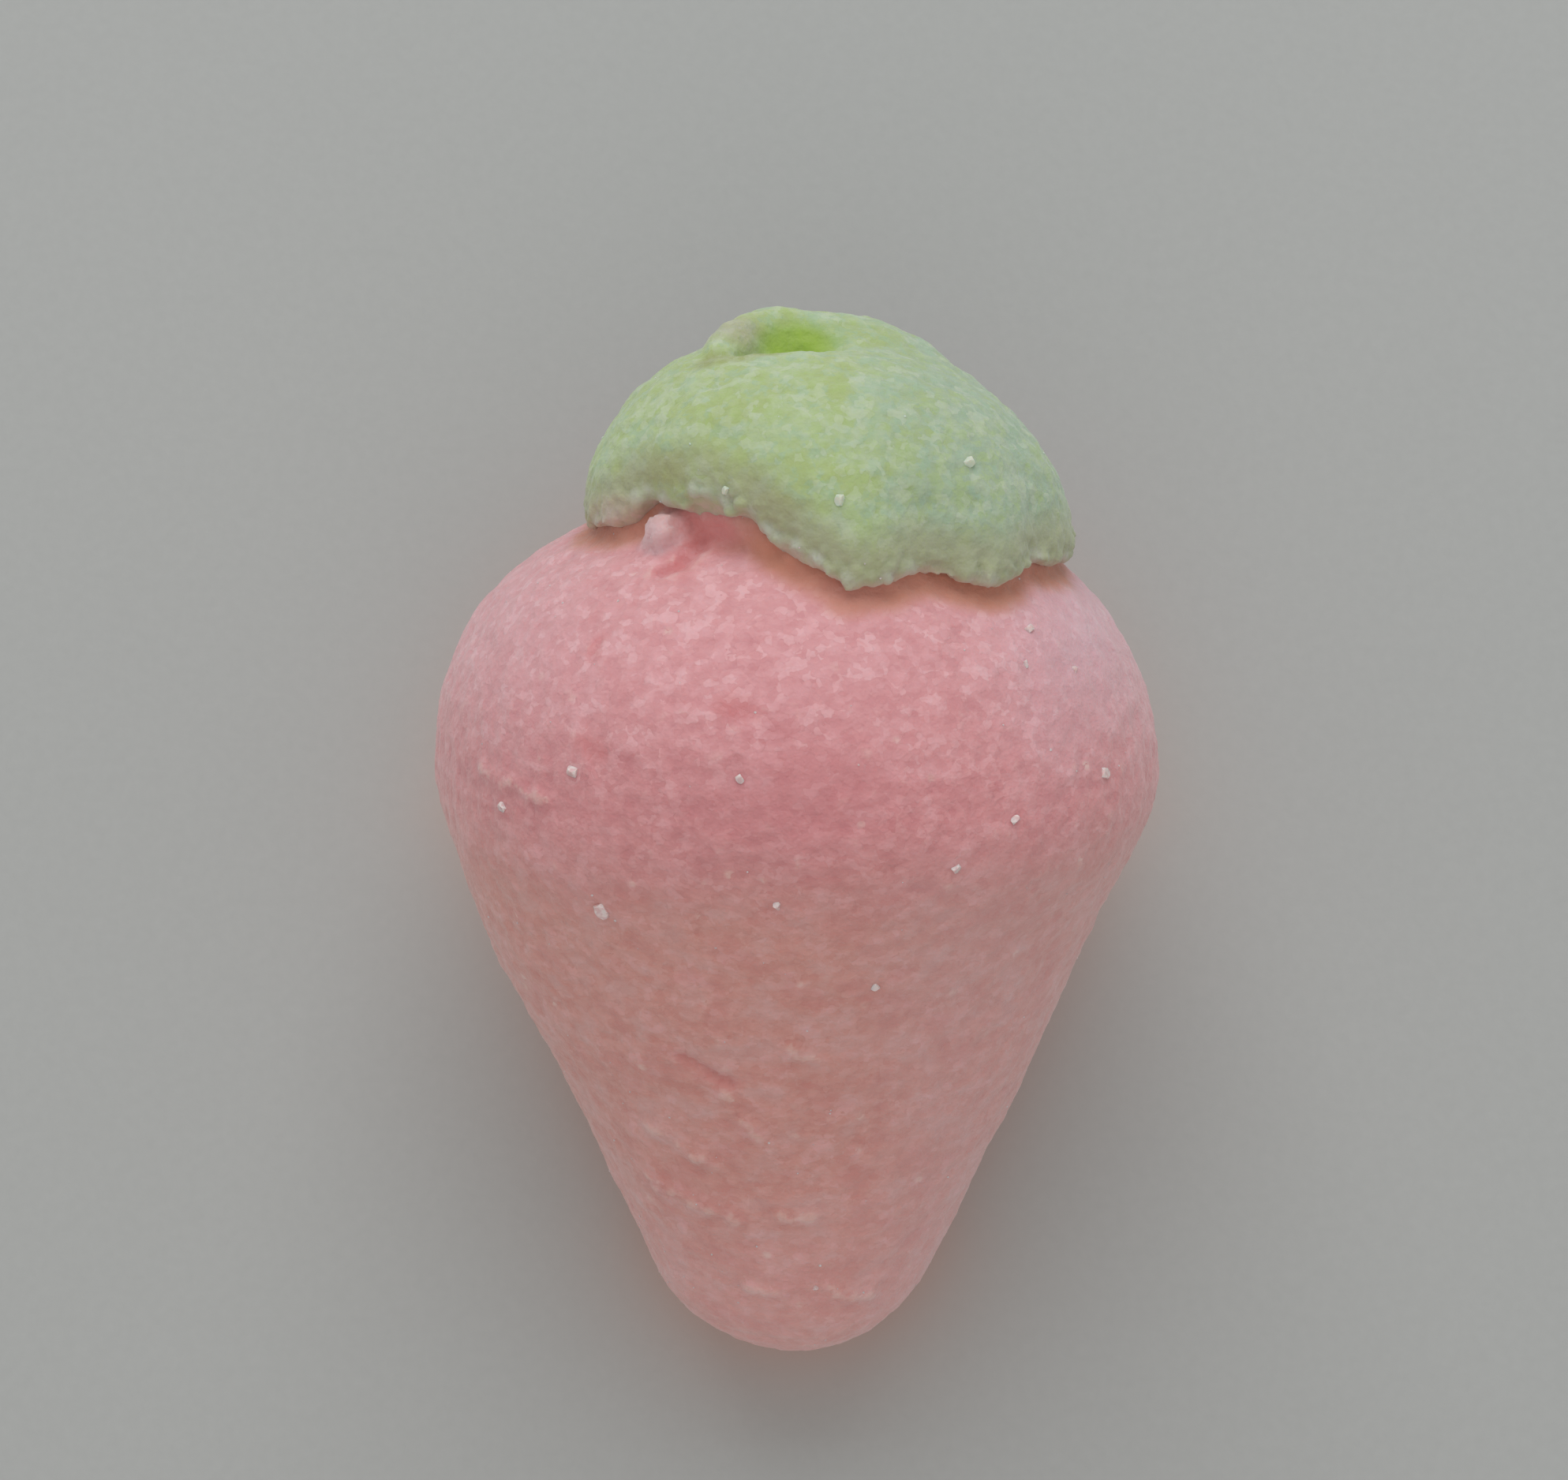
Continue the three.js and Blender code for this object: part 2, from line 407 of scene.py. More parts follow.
    def roughen(self, size: float, height: float, kind: Pattern = Pattern.CLOUDS, group: str = "") -> None:
        """Raises and sinks the surface by a soft random pattern.

        Args:
            size: Size of its features, in millimetres.
            height: How far it moves the surface from its lowest to its highest place, in millimetres.
            kind: The pattern.
            group: Vertex group that it acts on, or all of the surface.
        """
        pattern = bpy.data.textures.new("pattern", kind.value)
        pattern.noise_scale, strength = mm(size, height)
        if kind is Pattern.CLOUDS:
            pattern.noise_depth = 2
        settings = {"texture_coords": "LOCAL", "strength": strength, "vertex_group": group}
        self.finish_with("DISPLACE", texture=pattern, **settings)
        bpy.data.textures.remove(pattern)

    def grab(self, place: Vector, move: Vector, reach: float) -> None:
        """Takes hold of the surface at a place and pulls it softly along.

        Args:
            place: Where it is held; the nearest vertex is taken.
            move: How far the held point goes.
            reach: How far round it the surface follows.
        """
        away = np.linalg.norm(self.points - np.array(place), axis=1)
        chosen = np.zeros(len(away), bool)
        chosen[int(away.argmin())] = True
        self._pull(chosen, move, reach)

    def crease(self, path: Sequence[Vector], move: Vector, width: float, held: float = 0.25) -> None:
        """Presses a crease into the surface, or raises a fold, along a path.

        Args:
            path: Places that the crease runs through.
            move: How far its bottom goes.
            width: How far to each side it reaches.
            held: The share of the width that goes all the way; at least the nearest vertex does.
        """
        points = self.points
        nearest = np.full(len(points), np.inf)
        for start, end in zip(path, path[1:]):
            along = np.array(end - start)
            share = np.clip((points - np.array(start)) @ along / (along @ along), 0, 1)
            away = np.linalg.norm(points - np.array(start) - share[:, None] * along, axis=1)
            nearest = np.minimum(nearest, away)
        self._pull(nearest < max(width * held, nearest.min() * 1.01), move, width)

    def _pull(self, chosen: np.ndarray, move: Vector, reach: float) -> None:
        """Moves some vertices, and softly those round them.

        Args:
            chosen: True for each vertex that goes all the way.
            move: How far it goes.
            reach: How far round it the surface follows.
        """
        self.pick(chosen)
        with editing(self.object):
            bpy.ops.transform.translate(
                value=move,
                use_proportional_edit=True,
                proportional_edit_falloff="SMOOTH",
                proportional_size=reach,
            )

    def join(self, others: Sequence["Clay"]) -> None:
        """Takes other pieces into this one's mesh.

        Args:
            others: The pieces, which end as such.
        """
        select_only(self.object)
        for other in others:
            other.object.select_set(True)
        bpy.ops.object.join()

    def tree(self) -> BVHTree:
        """A search tree of the surface, for finding places on it."""
        return BVHTree.FromObject(self.object, bpy.context.evaluated_depsgraph_get())

    def around(self, targets: Sequence[Sequence[float]], far: float, close: float) -> np.ndarray:
        """How much each vertex belongs to the surroundings of some targets.

        Args:
            targets: Points of the part, one row each.
            far: The distance from the nearest target at which a vertex's share ends, in millimetres.
            close: The distance at which it is full.

        Returns:
            Each vertex's share.
        """
        tree = KDTree(len(targets))
        for i, target in enumerate(targets):
            tree.insert(target, i)
        tree.balance()
        return ease(np.array([tree.find(point)[2] for point in self.points]), *mm(far, close))

    def facing(self, other: "Clay", far: float, close: float) -> np.ndarray:
        """How much each vertex lies in the gap to another piece, by the distances of around()."""
        tree = other.tree()
        return ease(np.array([tree.find_nearest(point)[3] for point in self.points]), *mm(far, close))

    def note(self, mark: Mark, values: np.ndarray) -> None:
        """Stores a value for each vertex as a named attribute that the finish reads."""
        attribute = self.object.data.attributes.new(mark.value, "FLOAT", "POINT")
        attribute.data.foreach_set("value", values.astype(np.float32))

    def note_relief(self, reach: float, rounds: int) -> None:
        """Notes how far each vertex stands out of, or below zero lies in, the smoothed surface.

        Args:
            reach: The height that counts as 1.
            rounds: How many rounds of smoothing the comparison takes.
        """
        smooth = Clay(self.object.copy(), "smooth")
        smooth.object.data = self.object.data.copy()
        bpy.context.collection.objects.link(smooth.object)
        smooth.finish_with("SMOOTH", factor=0.5, iterations=rounds)
        away = ((self.points - smooth.points) * self.normals).sum(axis=1)
        smooth.discard()
        self.note(Mark.RELIEF, np.clip(away / reach, -1, 1))

    def discard(self) -> None:
        """Removes the piece, when it was only a help."""
        mesh = self.object.data
        bpy.data.objects.remove(self.object)
        bpy.data.meshes.remove(mesh)

    def complete(self, finish: Material, slot: Slot, *replaced: str) -> Object:
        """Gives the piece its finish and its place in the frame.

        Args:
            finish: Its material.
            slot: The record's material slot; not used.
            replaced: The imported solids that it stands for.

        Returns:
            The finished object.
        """
        self.object.vertex_groups.clear()
        self.object.data.materials.clear()
        self.object.data.materials.append(finish)
        select_only(self.object)
        bpy.ops.object.shade_smooth()
        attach(self.object, "root")
        if replaced:
            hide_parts(*replaced)
        return self.object


# ---- shader maths


Input = Union["Value", float, Sequence[float]]


class Value:
    """A shader socket that Python's own operators work on."""

    def __init__(self, graph: "Graph", socket: NodeSocket) -> None:
        """Wraps a node's output."""
        self.graph = graph
        self.socket = socket

    def _math(self, operation: str, *terms: Input) -> "Value":
        """Adds one Math node."""
        return self.graph.node("ShaderNodeMath", {"operation": operation}, terms)

    def __add__(self, other: Input) -> "Value":
        """self + other."""
        return self._math("ADD", self, other)

    __radd__ = __add__

    def __sub__(self, other: Input) -> "Value":
        """self - other."""
        return self._math("SUBTRACT", self, other)

    def __rsub__(self, other: Input) -> "Value":
        """other - self."""
        return self._math("SUBTRACT", other, self)

    def __mul__(self, other: Input) -> "Value":
        """self * other."""
        return self._math("MULTIPLY", self, other)

    __rmul__ = __mul__

    def __pow__(self, other: Input) -> "Value":
        """self to a power."""
        return self._math("POWER", self, other)

    def __rpow__(self, other: Input) -> "Value":
        """A number to the power of self."""
        return self._math("POWER", other, self)

    def at_least(self, other: Input) -> "Value":
        """The larger of the two."""
        return self._math("MAXIMUM", self, other)

    def at_most(self, other: Input) -> "Value":
        """The smaller of the two."""
        return self._math("MINIMUM", self, other)

    def eased(self, low: float, high: float) -> "Value":
        """Rises smoothly from 0 to 1, or falls if high is below low.

        Args:
            low: Where it is 0.
            high: Where it is 1.

        Returns:
            The eased value.
        """
        settings = {"interpolation_type": "SMOOTHSTEP"}
        ends = {"To Min": 0.0, "To Max": 1.0} if high > low else {"To Min": 1.0, "To Max": 0.0}
        inputs = {"Value": self, "From Min": min(low, high), "From Max": max(low, high), **ends}
        return self.graph.node("ShaderNodeMapRange", settings, inputs)


@dataclass(frozen=True)
class Spot:
    """A soft spot on the marshmallow: across, height and out of its middle and its reach, in millimetres."""

    middle: Triple
    reach: Triple
    inner: float = 0.0


@dataclass(frozen=True)
class Softness:
    """How light spreads inside a sugar foam and over the powder on it."""

    depth_share: float = 0.3
    depth: float = 1.0 * MM
    spread: Triple = (1.0, 0.5, 0.4)
    shine: float = 0.15
    bloom: float = 0.5
    bloom_roughness: float = 0.5
    bloom_colour: Colour = srgb(240, 226, 224)


class Graph:
    """The node tree of one material, with places on the marshmallow to paint by."""

    def __init__(self, name: str) -> None:
        """Starts an empty material.

        Args:
            name: Its name.
        """
        self.material = bpy.data.materials.new(name)
        self.material.use_nodes = True
        self.tree = self.material.node_tree
        self.tree.nodes.clear()
        self.level = self.node("ShaderNodeTexCoord", {}, {}, "Object")
        turned = {"Vector": self.level, "Location": LIE.middle, "Rotation": (LIE.climb, 0, 0)}
        self.place = self.node("ShaderNodeMapping", {"vector_type": "TEXTURE"}, turned)

    def node(self, kind: str, settings: dict, inputs: "dict | Sequence", output: str = "") -> Value:
        """Adds a node of any kind.

        Args:
            kind: Blender's name for the node type.
            settings: The node's own settings, which are set first.
            inputs: Values or links by socket name, or in the sockets' order.
            output: Name of the output that is wanted, or the first one.

        Returns:
            That output.
        """
        made = self.tree.nodes.new(kind)
        for name, value in settings.items():
            setattr(made, name, value)
        sockets = [socket for socket in made.inputs if socket.enabled]
        if isinstance(inputs, dict):
            pairs = [(next(s for s in sockets if s.name == name), value) for name, value in inputs.items()]
        else:
            pairs = list(zip(sockets, inputs))
        for socket, value in pairs:
            if isinstance(value, Value):
                self.tree.links.new(value.socket, socket)
            else:
                socket.default_value = value
        outputs = [socket for socket in made.outputs if socket.enabled]
        return Value(self, next(s for s in outputs if not output or s.name == output))

    def vector(self, operation: str, *terms: Input) -> Value:
        """Adds one Vector Math node."""
        return self.node("ShaderNodeVectorMath", {"operation": operation}, terms)

    def part(self, place: Value, direction: str) -> Value:
        """One part, X, Y or Z, of a place."""
        return self.node("ShaderNodeSeparateXYZ", {}, [place], direction)

    def mix(self, first: Input, second: Input, share: Input) -> Value:
        """Goes from the first colour to the second by a share."""
        settings = {"data_type": "RGBA", "clamp_factor": True}
        return self.node("ShaderNodeMix", settings, {"Factor": share, "A": first, "B": second})

    def drawn_out(self, place: Value, wide: float) -> Value:
        """A place by which a pattern's features are some times longer round the axis than along it."""
        return self.vector("MULTIPLY", place, (1 / wide, 1, 1 / wide))

    def noise(self, size: float, detail: float = 2.0, roughness: float = 0.5, wide: float = 1.0) -> Value:
        """A soft random pattern from 0 to 1.

        Args:
            size: Size of its features.
            detail: How many finer layers it has.
            roughness: How strong those layers are.
            wide: How many times longer round the axis than along it its features are.

        Returns:
            The pattern.
        """
        place = self.drawn_out(self.place, wide)
        inputs = {"Vector": place, "Scale": 1 / size, "Detail": detail, "Roughness": roughness}
        return self.node("ShaderNodeTexNoise", {}, inputs, "Fac")

    def chances(self, place: Value, size: float) -> Value:
        """A random number from 0 to 1 for each cell of a pattern of cells."""
        tint = self.node("ShaderNodeTexVoronoi", {}, {"Vector": place, "Scale": 1 / size}, "Color")
        return self.node("ShaderNodeSeparateColor", {}, [tint], "Red")

    def specks(
        self, size: float, share: float, radius: float, core: float = 0.35, blur: float = 0.02
    ) -> Value:
        """Scattered soft specks.

        Args:
            size: About how far apart their places lie.
            share: The share of the places that have a speck.
            radius: A speck's radius, as a share of the size.
            core: The share of the radius that is fully inside.
            blur: How softly the places without a speck are told from the others.

        Returns:
            1 in a speck and 0 between them.
        """
        away = self.node("ShaderNodeTexVoronoi", {}, {"Vector": self.place, "Scale": 1 / size}, "Distance")
        chosen = self.chances(self.place, size).eased(share + blur, share - blur)
        return away.eased(radius, radius * core) * chosen

    def shards(self, size: float, wide: float = 1.0, wave: float = 1.3, bend: float = 0.9) -> Value:
        """Angular shards that overlap, each of its own tone.

        Args:
            size: A shard's size.
            wide: How many times longer round the axis than along it they are.
            wave: How many waves their borders make over the size.
            bend: How far the waves push the borders, as a share of the size.

        Returns:
            Their tones, from 0 to 1.
        """
        waves = {"Vector": self.place, "Scale": wave / size, "Detail": 0.0}
        sway = self.node("ShaderNodeTexNoise", {}, waves, "Color")
        bent = self.vector("ADD", self.place, self.vector("SCALE", sway, size * bend))
        return self.chances(self.drawn_out(bent, wide), size)

    def near(self, spot: Spot) -> Value:
        """1 in the inner part of a spot and 0 beyond its reach."""
        away = self.vector("DIVIDE", self.vector("SUBTRACT", self.place, mm(*spot.middle)), mm(*spot.reach))
        return self.vector("LENGTH", away).eased(1.0, spot.inner)

    def noted(self, mark: Mark) -> Value:
        """A value that the modelling noted for each vertex."""
        return self.node("ShaderNodeAttribute", {"attribute_name": mark.value}, {}, "Fac")

    def bumps(self, height: Value, depth: float) -> Value:
        """A normal that is tilted by a height from 0 to 1 over a depth."""
        return self.node("ShaderNodeBump", {}, {"Height": height, "Distance": depth, "Strength": 1.0})

    def surface(self, colour: Input, roughness: Input, normal: Value, soft: Softness) -> Material:
        """Ends the tree in one soft, matt shader.

        Args:
            colour: Base colour.
            roughness: How dull it is.
            normal: Its bumpy normal.
            soft: How light spreads in it and over its powder.

        Returns:
            The material.
        """
        inputs = {
            "Base Color": colour,
            "Roughness": roughness,
            "Normal": normal,
            "Subsurface Weight": soft.depth_share,
            "Subsurface Radius": soft.spread,
            "Subsurface Scale": soft.depth,
            "Specular IOR Level": soft.shine,
            "Sheen Weight": soft.bloom,
            "Sheen Roughness": soft.bloom_roughness,
            "Sheen Tint": soft.bloom_colour,
        }
        shader = self.node("ShaderNodeBsdfPrincipled", {}, inputs)
        ending = self.tree.nodes.new("ShaderNodeOutputMaterial")
        self.tree.links.new(shader.socket, ending.inputs["Surface"])
        return self.material


@dataclass(frozen=True)
class Grain:
    """Sizes of a foam's random patterns, how many times wider than high they are, and their relief.

    The shares say how strongly the mottle, the flakes and the fine grain stand out of the surface.
    """

    patch: float
    flake: float
    plate: float
    relief: float
    wide: float = 1.0
    patch_wide: float = 1.0
    mottle: float = 0.8 * MM
    fine: float = 0.2 * MM
    shares: Triple = (0.45, 0.12, 0.32)
    dullness: float = 0.95


class Foam(Graph):
    """The node tree of a powdered foam: its patterns, and the colour that its coats have made so far."""

    def __init__(self, name: str, grain: Grain) -> None:
        """Starts the material with its patterns and no coat.

        Args:
            name: Its name.
            grain: The sizes of its patterns.
        """
        super().__init__(name)
        self.grain = grain
        self.patches = self.noise(grain.patch, wide=grain.patch_wide)
        self.mottle = self.noise(grain.mottle, 3.0, 0.65, grain.wide)
        self.flakes = self.shards(grain.flake, grain.wide)
        self.plates = self.shards(grain.plate, grain.wide)
        self.relief = self.noted(Mark.RELIEF)
        self.across = self.part(self.place, "X")
        self.height = self.part(self.place, "Y")
        self.colour: Input = (1.0, 1.0, 1.0, 1.0)

    def coat(self, colour: Input, share: Input) -> None:
        """Lays a colour over those that are there, by a share."""
        self.colour = self.mix(self.colour, colour, share)

    def finished(self, softness: Softness) -> Material:
        """Roughens the foam and ends its tree.

        Args:
            softness: How light spreads in it and over its powder.

        Returns:
            The material.
        """
        mottle, flakes, fine = self.grain.shares
        height = self.mottle * mottle + self.flakes * flakes + self.noise(self.grain.fine, 1.0) * fine
        bumps = self.bumps(height, self.grain.relief)
        return self.surface(self.colour, self.grain.dullness, bumps, softness)


# ---- finishes


@dataclass(frozen=True)
class PinkFinish:
    """Pink sugar foam under a thin powder, which lies thickest on the shoulder."""

    foam: Colour = srgb(226, 157, 158)
    deep: Colour = srgb(212, 137, 140)
    # Painted light: warmer copies of the foam's colours, for warm bounce light on the lower cone.
    foam_in_painted_warm_light: Colour = srgb(226, 166, 156)
    deep_in_painted_warm_light: Colour = srgb(216, 148, 138)
    powder: Colour = srgb(248, 192, 197)
    # Lilac: a painted sheen on the shoulder's left and right limbs, and a faint tint on the lower cone's right.
    lilac: Colour = srgb(228, 198, 210)
    worn: Colour = srgb(238, 204, 192)
    chip: Colour = srgb(251, 208, 208)
    # Painted shade: deep pink for the creases and the recess under the cap's notch.
    blush: Colour = srgb(224, 140, 139)
    ash: Colour = srgb(224, 188, 186)
    salmon: Colour = srgb(214, 140, 135)
    # Painted shade: a brownish colour along the cap's edge.
    crevice: Colour = srgb(212, 146, 124)
    lump: Colour = srgb(226, 190, 192)
    grain: Grain = Grain(3.2 * MM, 0.3 * MM, 0.7 * MM, 0.15 * MM, 1.3, 1.5)
    waver: float = 3 * MM
    shoulder: Pair = mm(1.5, 8.5)
    cone: Pair = mm(2.5, -3.5)
    deep_spots: tuple[Spot, ...] = tuple(
        Spot(place, (2.8, 1.3, 2.8)) for place in ((-2.0, 4.9, 14.6), (-1.0, 4.2, 15.0), (-7.2, 3.0, 13.6))
    )
    belly: Spot = Spot((0.5, 2.0, 15.6), (6.5, 3.2, 6.5))
    notch: Spot = Spot((-3.8, 11.3, 7.6), (3.2, 2.2, 3.2), 0.3)
    on_lump: Spot = Spot((-5.3, 10.9, 7.1), (1.4, 1.4, 1.4), 0.6)
    softness: Softness = Softness()

    def material(self) -> Material:
        """Paints the finish: the foam, its powder and blotches, deeper places, and painted light: warm light on
        the lower cone, a sheen on the shoulder's limbs, and shade in the creases, in the notch's recess and
        along the cap's edge.

        Returns:
            The material.
        """
        paint = Foam("pink_foam", self.grain)
        across, height, patches, flakes = paint.across, paint.height, paint.patches, paint.flakes
        blotches = paint.noise(1.5 * MM, 2.0, 0.55, 1.3)
        shoulder = (height + patches * self.waver).eased(*self.shoulder)
        cone = (height + patches * self.waver).eased(*self.cone)
        tone = paint.mottle * 0.42 + flakes * 0.17 + paint.plates * 0.12 + paint.relief * 0.08 + 0.04
        tone = tone + (patches - 0.5) * (cone * 0.12 + 0.1) + shoulder * 0.08

        # Painted light: the lower cone turns to the warmer copies, as if lit warm from below.
        paint.colour = paint.mix(self.deep, self.deep_in_painted_warm_light, cone)
        paint.coat(paint.mix(self.foam, self.foam_in_painted_warm_light, cone), tone.eased(0.10, 0.50))
        paint.coat(self.powder, tone.eased(0.36, 0.76) * (shoulder * 0.08 + 0.48))
        paint.coat(self.ash, blotches.eased(0.5, 0.66) * cone * 0.25)
        paint.coat(self.salmon, blotches.eased(0.5, 0.34) * cone * 0.3)
        paint.coat(self.worn, paint.relief.eased(0.45, 1.0) * 0.36)
        paint.coat(self.worn, paint.specks(1.3 * MM, 0.22, 0.22) * (flakes * 0.7))
        chips = (flakes * 0.5 + paint.plates * 0.25 + paint.mottle * 0.45).eased(0.70, 0.92)
        paint.coat(self.chip, chips * (shoulder * 0.24 + 0.05))
        # Painted sheen: lilac on the shoulder's left and right limbs, and faintly over the rest of the
        # shoulder.
        sides = across.eased(*mm(6, 13)) * 0.42 + across.eased(*mm(-6, -13)) * 0.12 + 0.1
        paint.coat(self.lilac, sides * shoulder)
        paint.coat(self.lilac, across.eased(*mm(1, 7)) * cone * 0.14)
        paint.coat(self.powder, height.eased(*mm(-15, -24)) * 0.16)

        paint.coat(self.deep, paint.near(self.belly) * 0.4)
        for spot in self.deep_spots:
            paint.coat(self.deep, (paint.near(spot) * 1.1 - tone * 1.3).eased(-0.1, 0.7) * 0.7)
        # Painted shade: a brownish line on the body along the cap's edge, weaker in the notch.
        contact_tint = paint.noted(Mark.CREVICE) * (patches * 0.8 + 0.55).at_most(1.0)
        paint.coat(self.crevice, contact_tint * (1.0 - paint.near(self.notch) * 0.6))
        paint.coat(self.lump, paint.near(self.on_lump) * (tone + 0.3).at_most(1.0))
        # Painted shade: deep pink in the creases, faintly, and in the recess under the notch.
        paint.coat(self.blush, paint.noted(Mark.BLUSH) * (1.15 - tone * 0.7).at_most(1.0))
        return paint.finished(self.softness)


@dataclass(frozen=True)
class GreenFinish:
    """Pale green sugar foam: yellower on the left, greyer and dustier on the right."""

    foam: Colour = srgb(184, 201, 153)
    yellow: Colour = srgb(179, 194, 133)
    blue: Colour = srgb(170, 188, 160)
    olive: Colour = srgb(174, 176, 116)
    # Painted shade: a dull grey-olive for the cap's lower edge.
    edge_shade: Colour = srgb(177, 177, 144)
    powder: Colour = srgb(204, 213, 185)
    chip: Colour = srgb(212, 220, 198)
    hollow: Colour = srgb(166, 194, 89)
    fringe: Colour = srgb(195, 197, 179)
    # Painted shadow: olive for the crease under the nub's lip.
    seam: Colour = srgb(156, 156, 96)
    stalk: Colour = srgb(184, 174, 154)
    leaf: Colour = srgb(178, 200, 128)
    mint: Colour = srgb(164, 194, 168)
    contact_tint: Colour = srgb(214, 186, 174)
    grain: Grain = Grain(2.4 * MM, 0.42 * MM, 0.95 * MM, 0.11 * MM)
    waver: float = 6 * MM
    olive_spots: tuple[Spot, ...] = tuple(
        Spot(place, (2.6, 1.5, 2.6)) for place in ((-4.9, 13.6, 7.4), (-0.7, 12.4, 10.3))
    )
    notch: Spot = Spot((-4.2, 12.8, 8.0), (3.2, 2.0, 3.2), 0.2)
    left_lobe: Spot = Spot((-7.2, 11.5, 5.8), (3.0, 1.2, 3.0), 0.3)
    on_stalk: Spot = Spot((-2.7, 18.5, 0.8), (2.0, 1.3, 2.0), 0.4)
    pit: Spot = Spot((0.1, 18.1, 0.5), (2.5, 1.35, 2.6), 0.35)
    softness: Softness = Softness(spread=(0.8, 1.0, 0.45), bloom=0.4, bloom_colour=srgb(228, 238, 230))

    def material(self) -> Material:
        """Paints the finish: the foam, its hues and powder, the edge with its crumbs, the nub, a painted shade
        towards the lower edge and a painted shadow under the nub's lip.

        Returns:
            The material.
        """
        paint = Foam("green_foam", self.grain)
        patches, flakes, uneven = paint.patches, paint.flakes, paint.patches - 0.5
        hue = paint.noise(1.1 * MM, 3.0, 0.65) * 0.8 + paint.shards(0.36 * MM) * 0.2
        right = (paint.across + uneven * self.waver).eased(*mm(0.5, 7))
        tone = paint.mottle * 0.55 + flakes * 0.22 + paint.plates * 0.14 + uneven * 0.2 + paint.relief * 0.08

        paint.colour = paint.mix(self.yellow, self.foam, (patches + tone * 0.5).eased(0.55, 0.85))
        paint.coat(self.blue, right)
        paint.coat(self.leaf, hue.eased(0.5, 0.62) * 0.42)
        paint.coat(self.mint, hue.eased(0.5, 0.38) * 0.42)
        paint.coat(self.powder, (tone + right * 0.03).eased(0.38, 0.74) * 0.44)
        paint.coat(self.chip, (flakes * 0.85 + paint.plates * 0.15).eased(0.68, 0.84) * 0.16)
        paint.coat(self.yellow, tone.eased(0.42, 0.22) * 0.5)
        for spot in self.olive_spots:
            paint.coat(self.olive, (paint.near(spot) * 1.3 - tone * 0.8).eased(0.1, 0.7) * 0.6)

        # Painted shade: darker and greyer towards the cap's lower edge, less so at the notch.
        rim = (paint.noted(Mark.RIM) + uneven * 0.5).eased(0.1, 1.0)
        paint.coat(self.edge_shade, rim * (0.8 - paint.near(self.notch) * 0.5))
        paint.coat(self.fringe, paint.noted(Mark.CRUMB) * (tone * 1.6).at_most(0.9))
        # Pink-beige on the cap's edge next to the body, and on the left lobe.
        contact_tint = (paint.noted(Mark.CREVICE) * 0.7 + paint.near(self.left_lobe) * 0.6).at_most(0.9)
        paint.coat(self.contact_tint, contact_tint * (tone * 1.2 + 0.2).at_most(1.0))
        paint.coat(self.stalk, paint.near(self.on_stalk) * 0.6)
        # Painted shadow: an olive line in the crease under the nub's lip.
        paint.coat(self.seam, paint.noted(Mark.SEAM) * (1.2 - tone * 0.8) * 0.75)
        paint.coat(self.hollow, paint.near(self.pit) * (0.75 + tone * 0.5).at_most(1.0))
        return paint.finished(self.softness)


@dataclass(frozen=True)
class SugarFinish:
    """Cloudy sugar grains that take on some of the foam's pink."""

    clear: Colour = srgb(240, 218, 214)
    cloudy: Colour = srgb(226, 190, 188)
    on_green: Colour = srgb(222, 228, 208)
    green_from: Pair = mm(12.0, 12.6)
    softness: Softness = Softness(depth_share=0.5, depth=0.4 * MM, shine=0.6, bloom=0.0)

    def material(self) -> Material:
        """Paints the finish.

        Returns:
            The material.
        """
        graph = Graph("sugar")
        haze = graph.noise(0.2 * MM)
        colour = graph.mix(self.clear, self.cloudy, haze.eased(0.45, 0.65))
        colour = graph.mix(colour, self.on_green, graph.part(graph.place, "Y").eased(*self.green_from))
        return graph.surface(colour, 0.3 + haze * 0.2, graph.bumps(haze, 0.02 * MM), self.softness)


@dataclass(frozen=True)
class TableFinish:
    """A pale grey table top, with a painted reflection: a warm tint round the marshmallow's outline.

    Each of its round ends is a place along Y and a radius.
    """

    pale: Colour = srgb(186, 187, 184)
    dusty: Colour = srgb(180, 181, 178)
    painted_reflection: Colour = srgb(200, 180, 171)
    painted_reflection_reach: float = 1.4 * MM
    tip: Pair = mm(-15.2, 7.05)
    belly: Pair = mm(3.38, 15.9)
    softness: Softness = Softness(depth_share=0.0, bloom=0.0, shine=0.2)

    def material(self) -> Material:
        """Paints the finish.

        Returns:
            The material.
        """
        graph = Graph("table_top")
        grain = graph.noise(0.5 * MM, 3.0)
        colour = graph.mix(self.pale, self.dusty, grain)
        # Painted reflection: warm pink on the table, halving with each reach from the marshmallow's outline.
        painted_reflection_share = 0.5 ** (self.away(graph) * (1 / self.painted_reflection_reach)).at_least(0.0)
        colour = graph.mix(colour, self.painted_reflection, painted_reflection_share)
        return graph.surface(colour, 0.8, graph.bumps(grain, 0.01 * MM), self.softness)

    def away(self, graph: Graph) -> Value:
        """How far a place of the table is from the marshmallow's outline, seen from above.

        Args:
            graph: The finish's node tree.

        Returns:
            The distance; the outline is taken as a round tip, a round belly and the flanks between them.
        """
        across, along = graph.part(graph.level, "X") - LIE.middle.x, graph.part(graph.level, "Y")
        (start, narrow), (end, wide) = self.tip, self.belly
        share = ((along - start) * (1 / (end - start))).at_least(0.0).at_most(1.0)
        beside = along - (share * (end - start) + start)
        return (across * across + beside * beside) ** 0.5 - (share * (wide - narrow) + narrow)


# ---- the pieces


@dataclass(frozen=True)
class Fold:
    """A short straight fold of the skin, raised if its lift is above zero and pressed in if below.

    It runs from one height and turn round the axis to another. Lengths are in millimetres, turns in degrees.
    """

    start: Pair
    end: Pair
    lift: float
    width: float = 0.5


@dataclass(frozen=True)
class BodyShape:
    """The body's mesh and the places that get painted shade in deep pink: creases faintly and the recess fully.
    """

    clay: Clay
    creases: np.ndarray
    recess: np.ndarray


@dataclass(frozen=True)
class CapShape:
    """The cap's mesh, the course of its edge before the crumbs were set on it, and its pale crumbs."""

    clay: Clay
    edge: np.ndarray
    pale_crumbs: np.ndarray


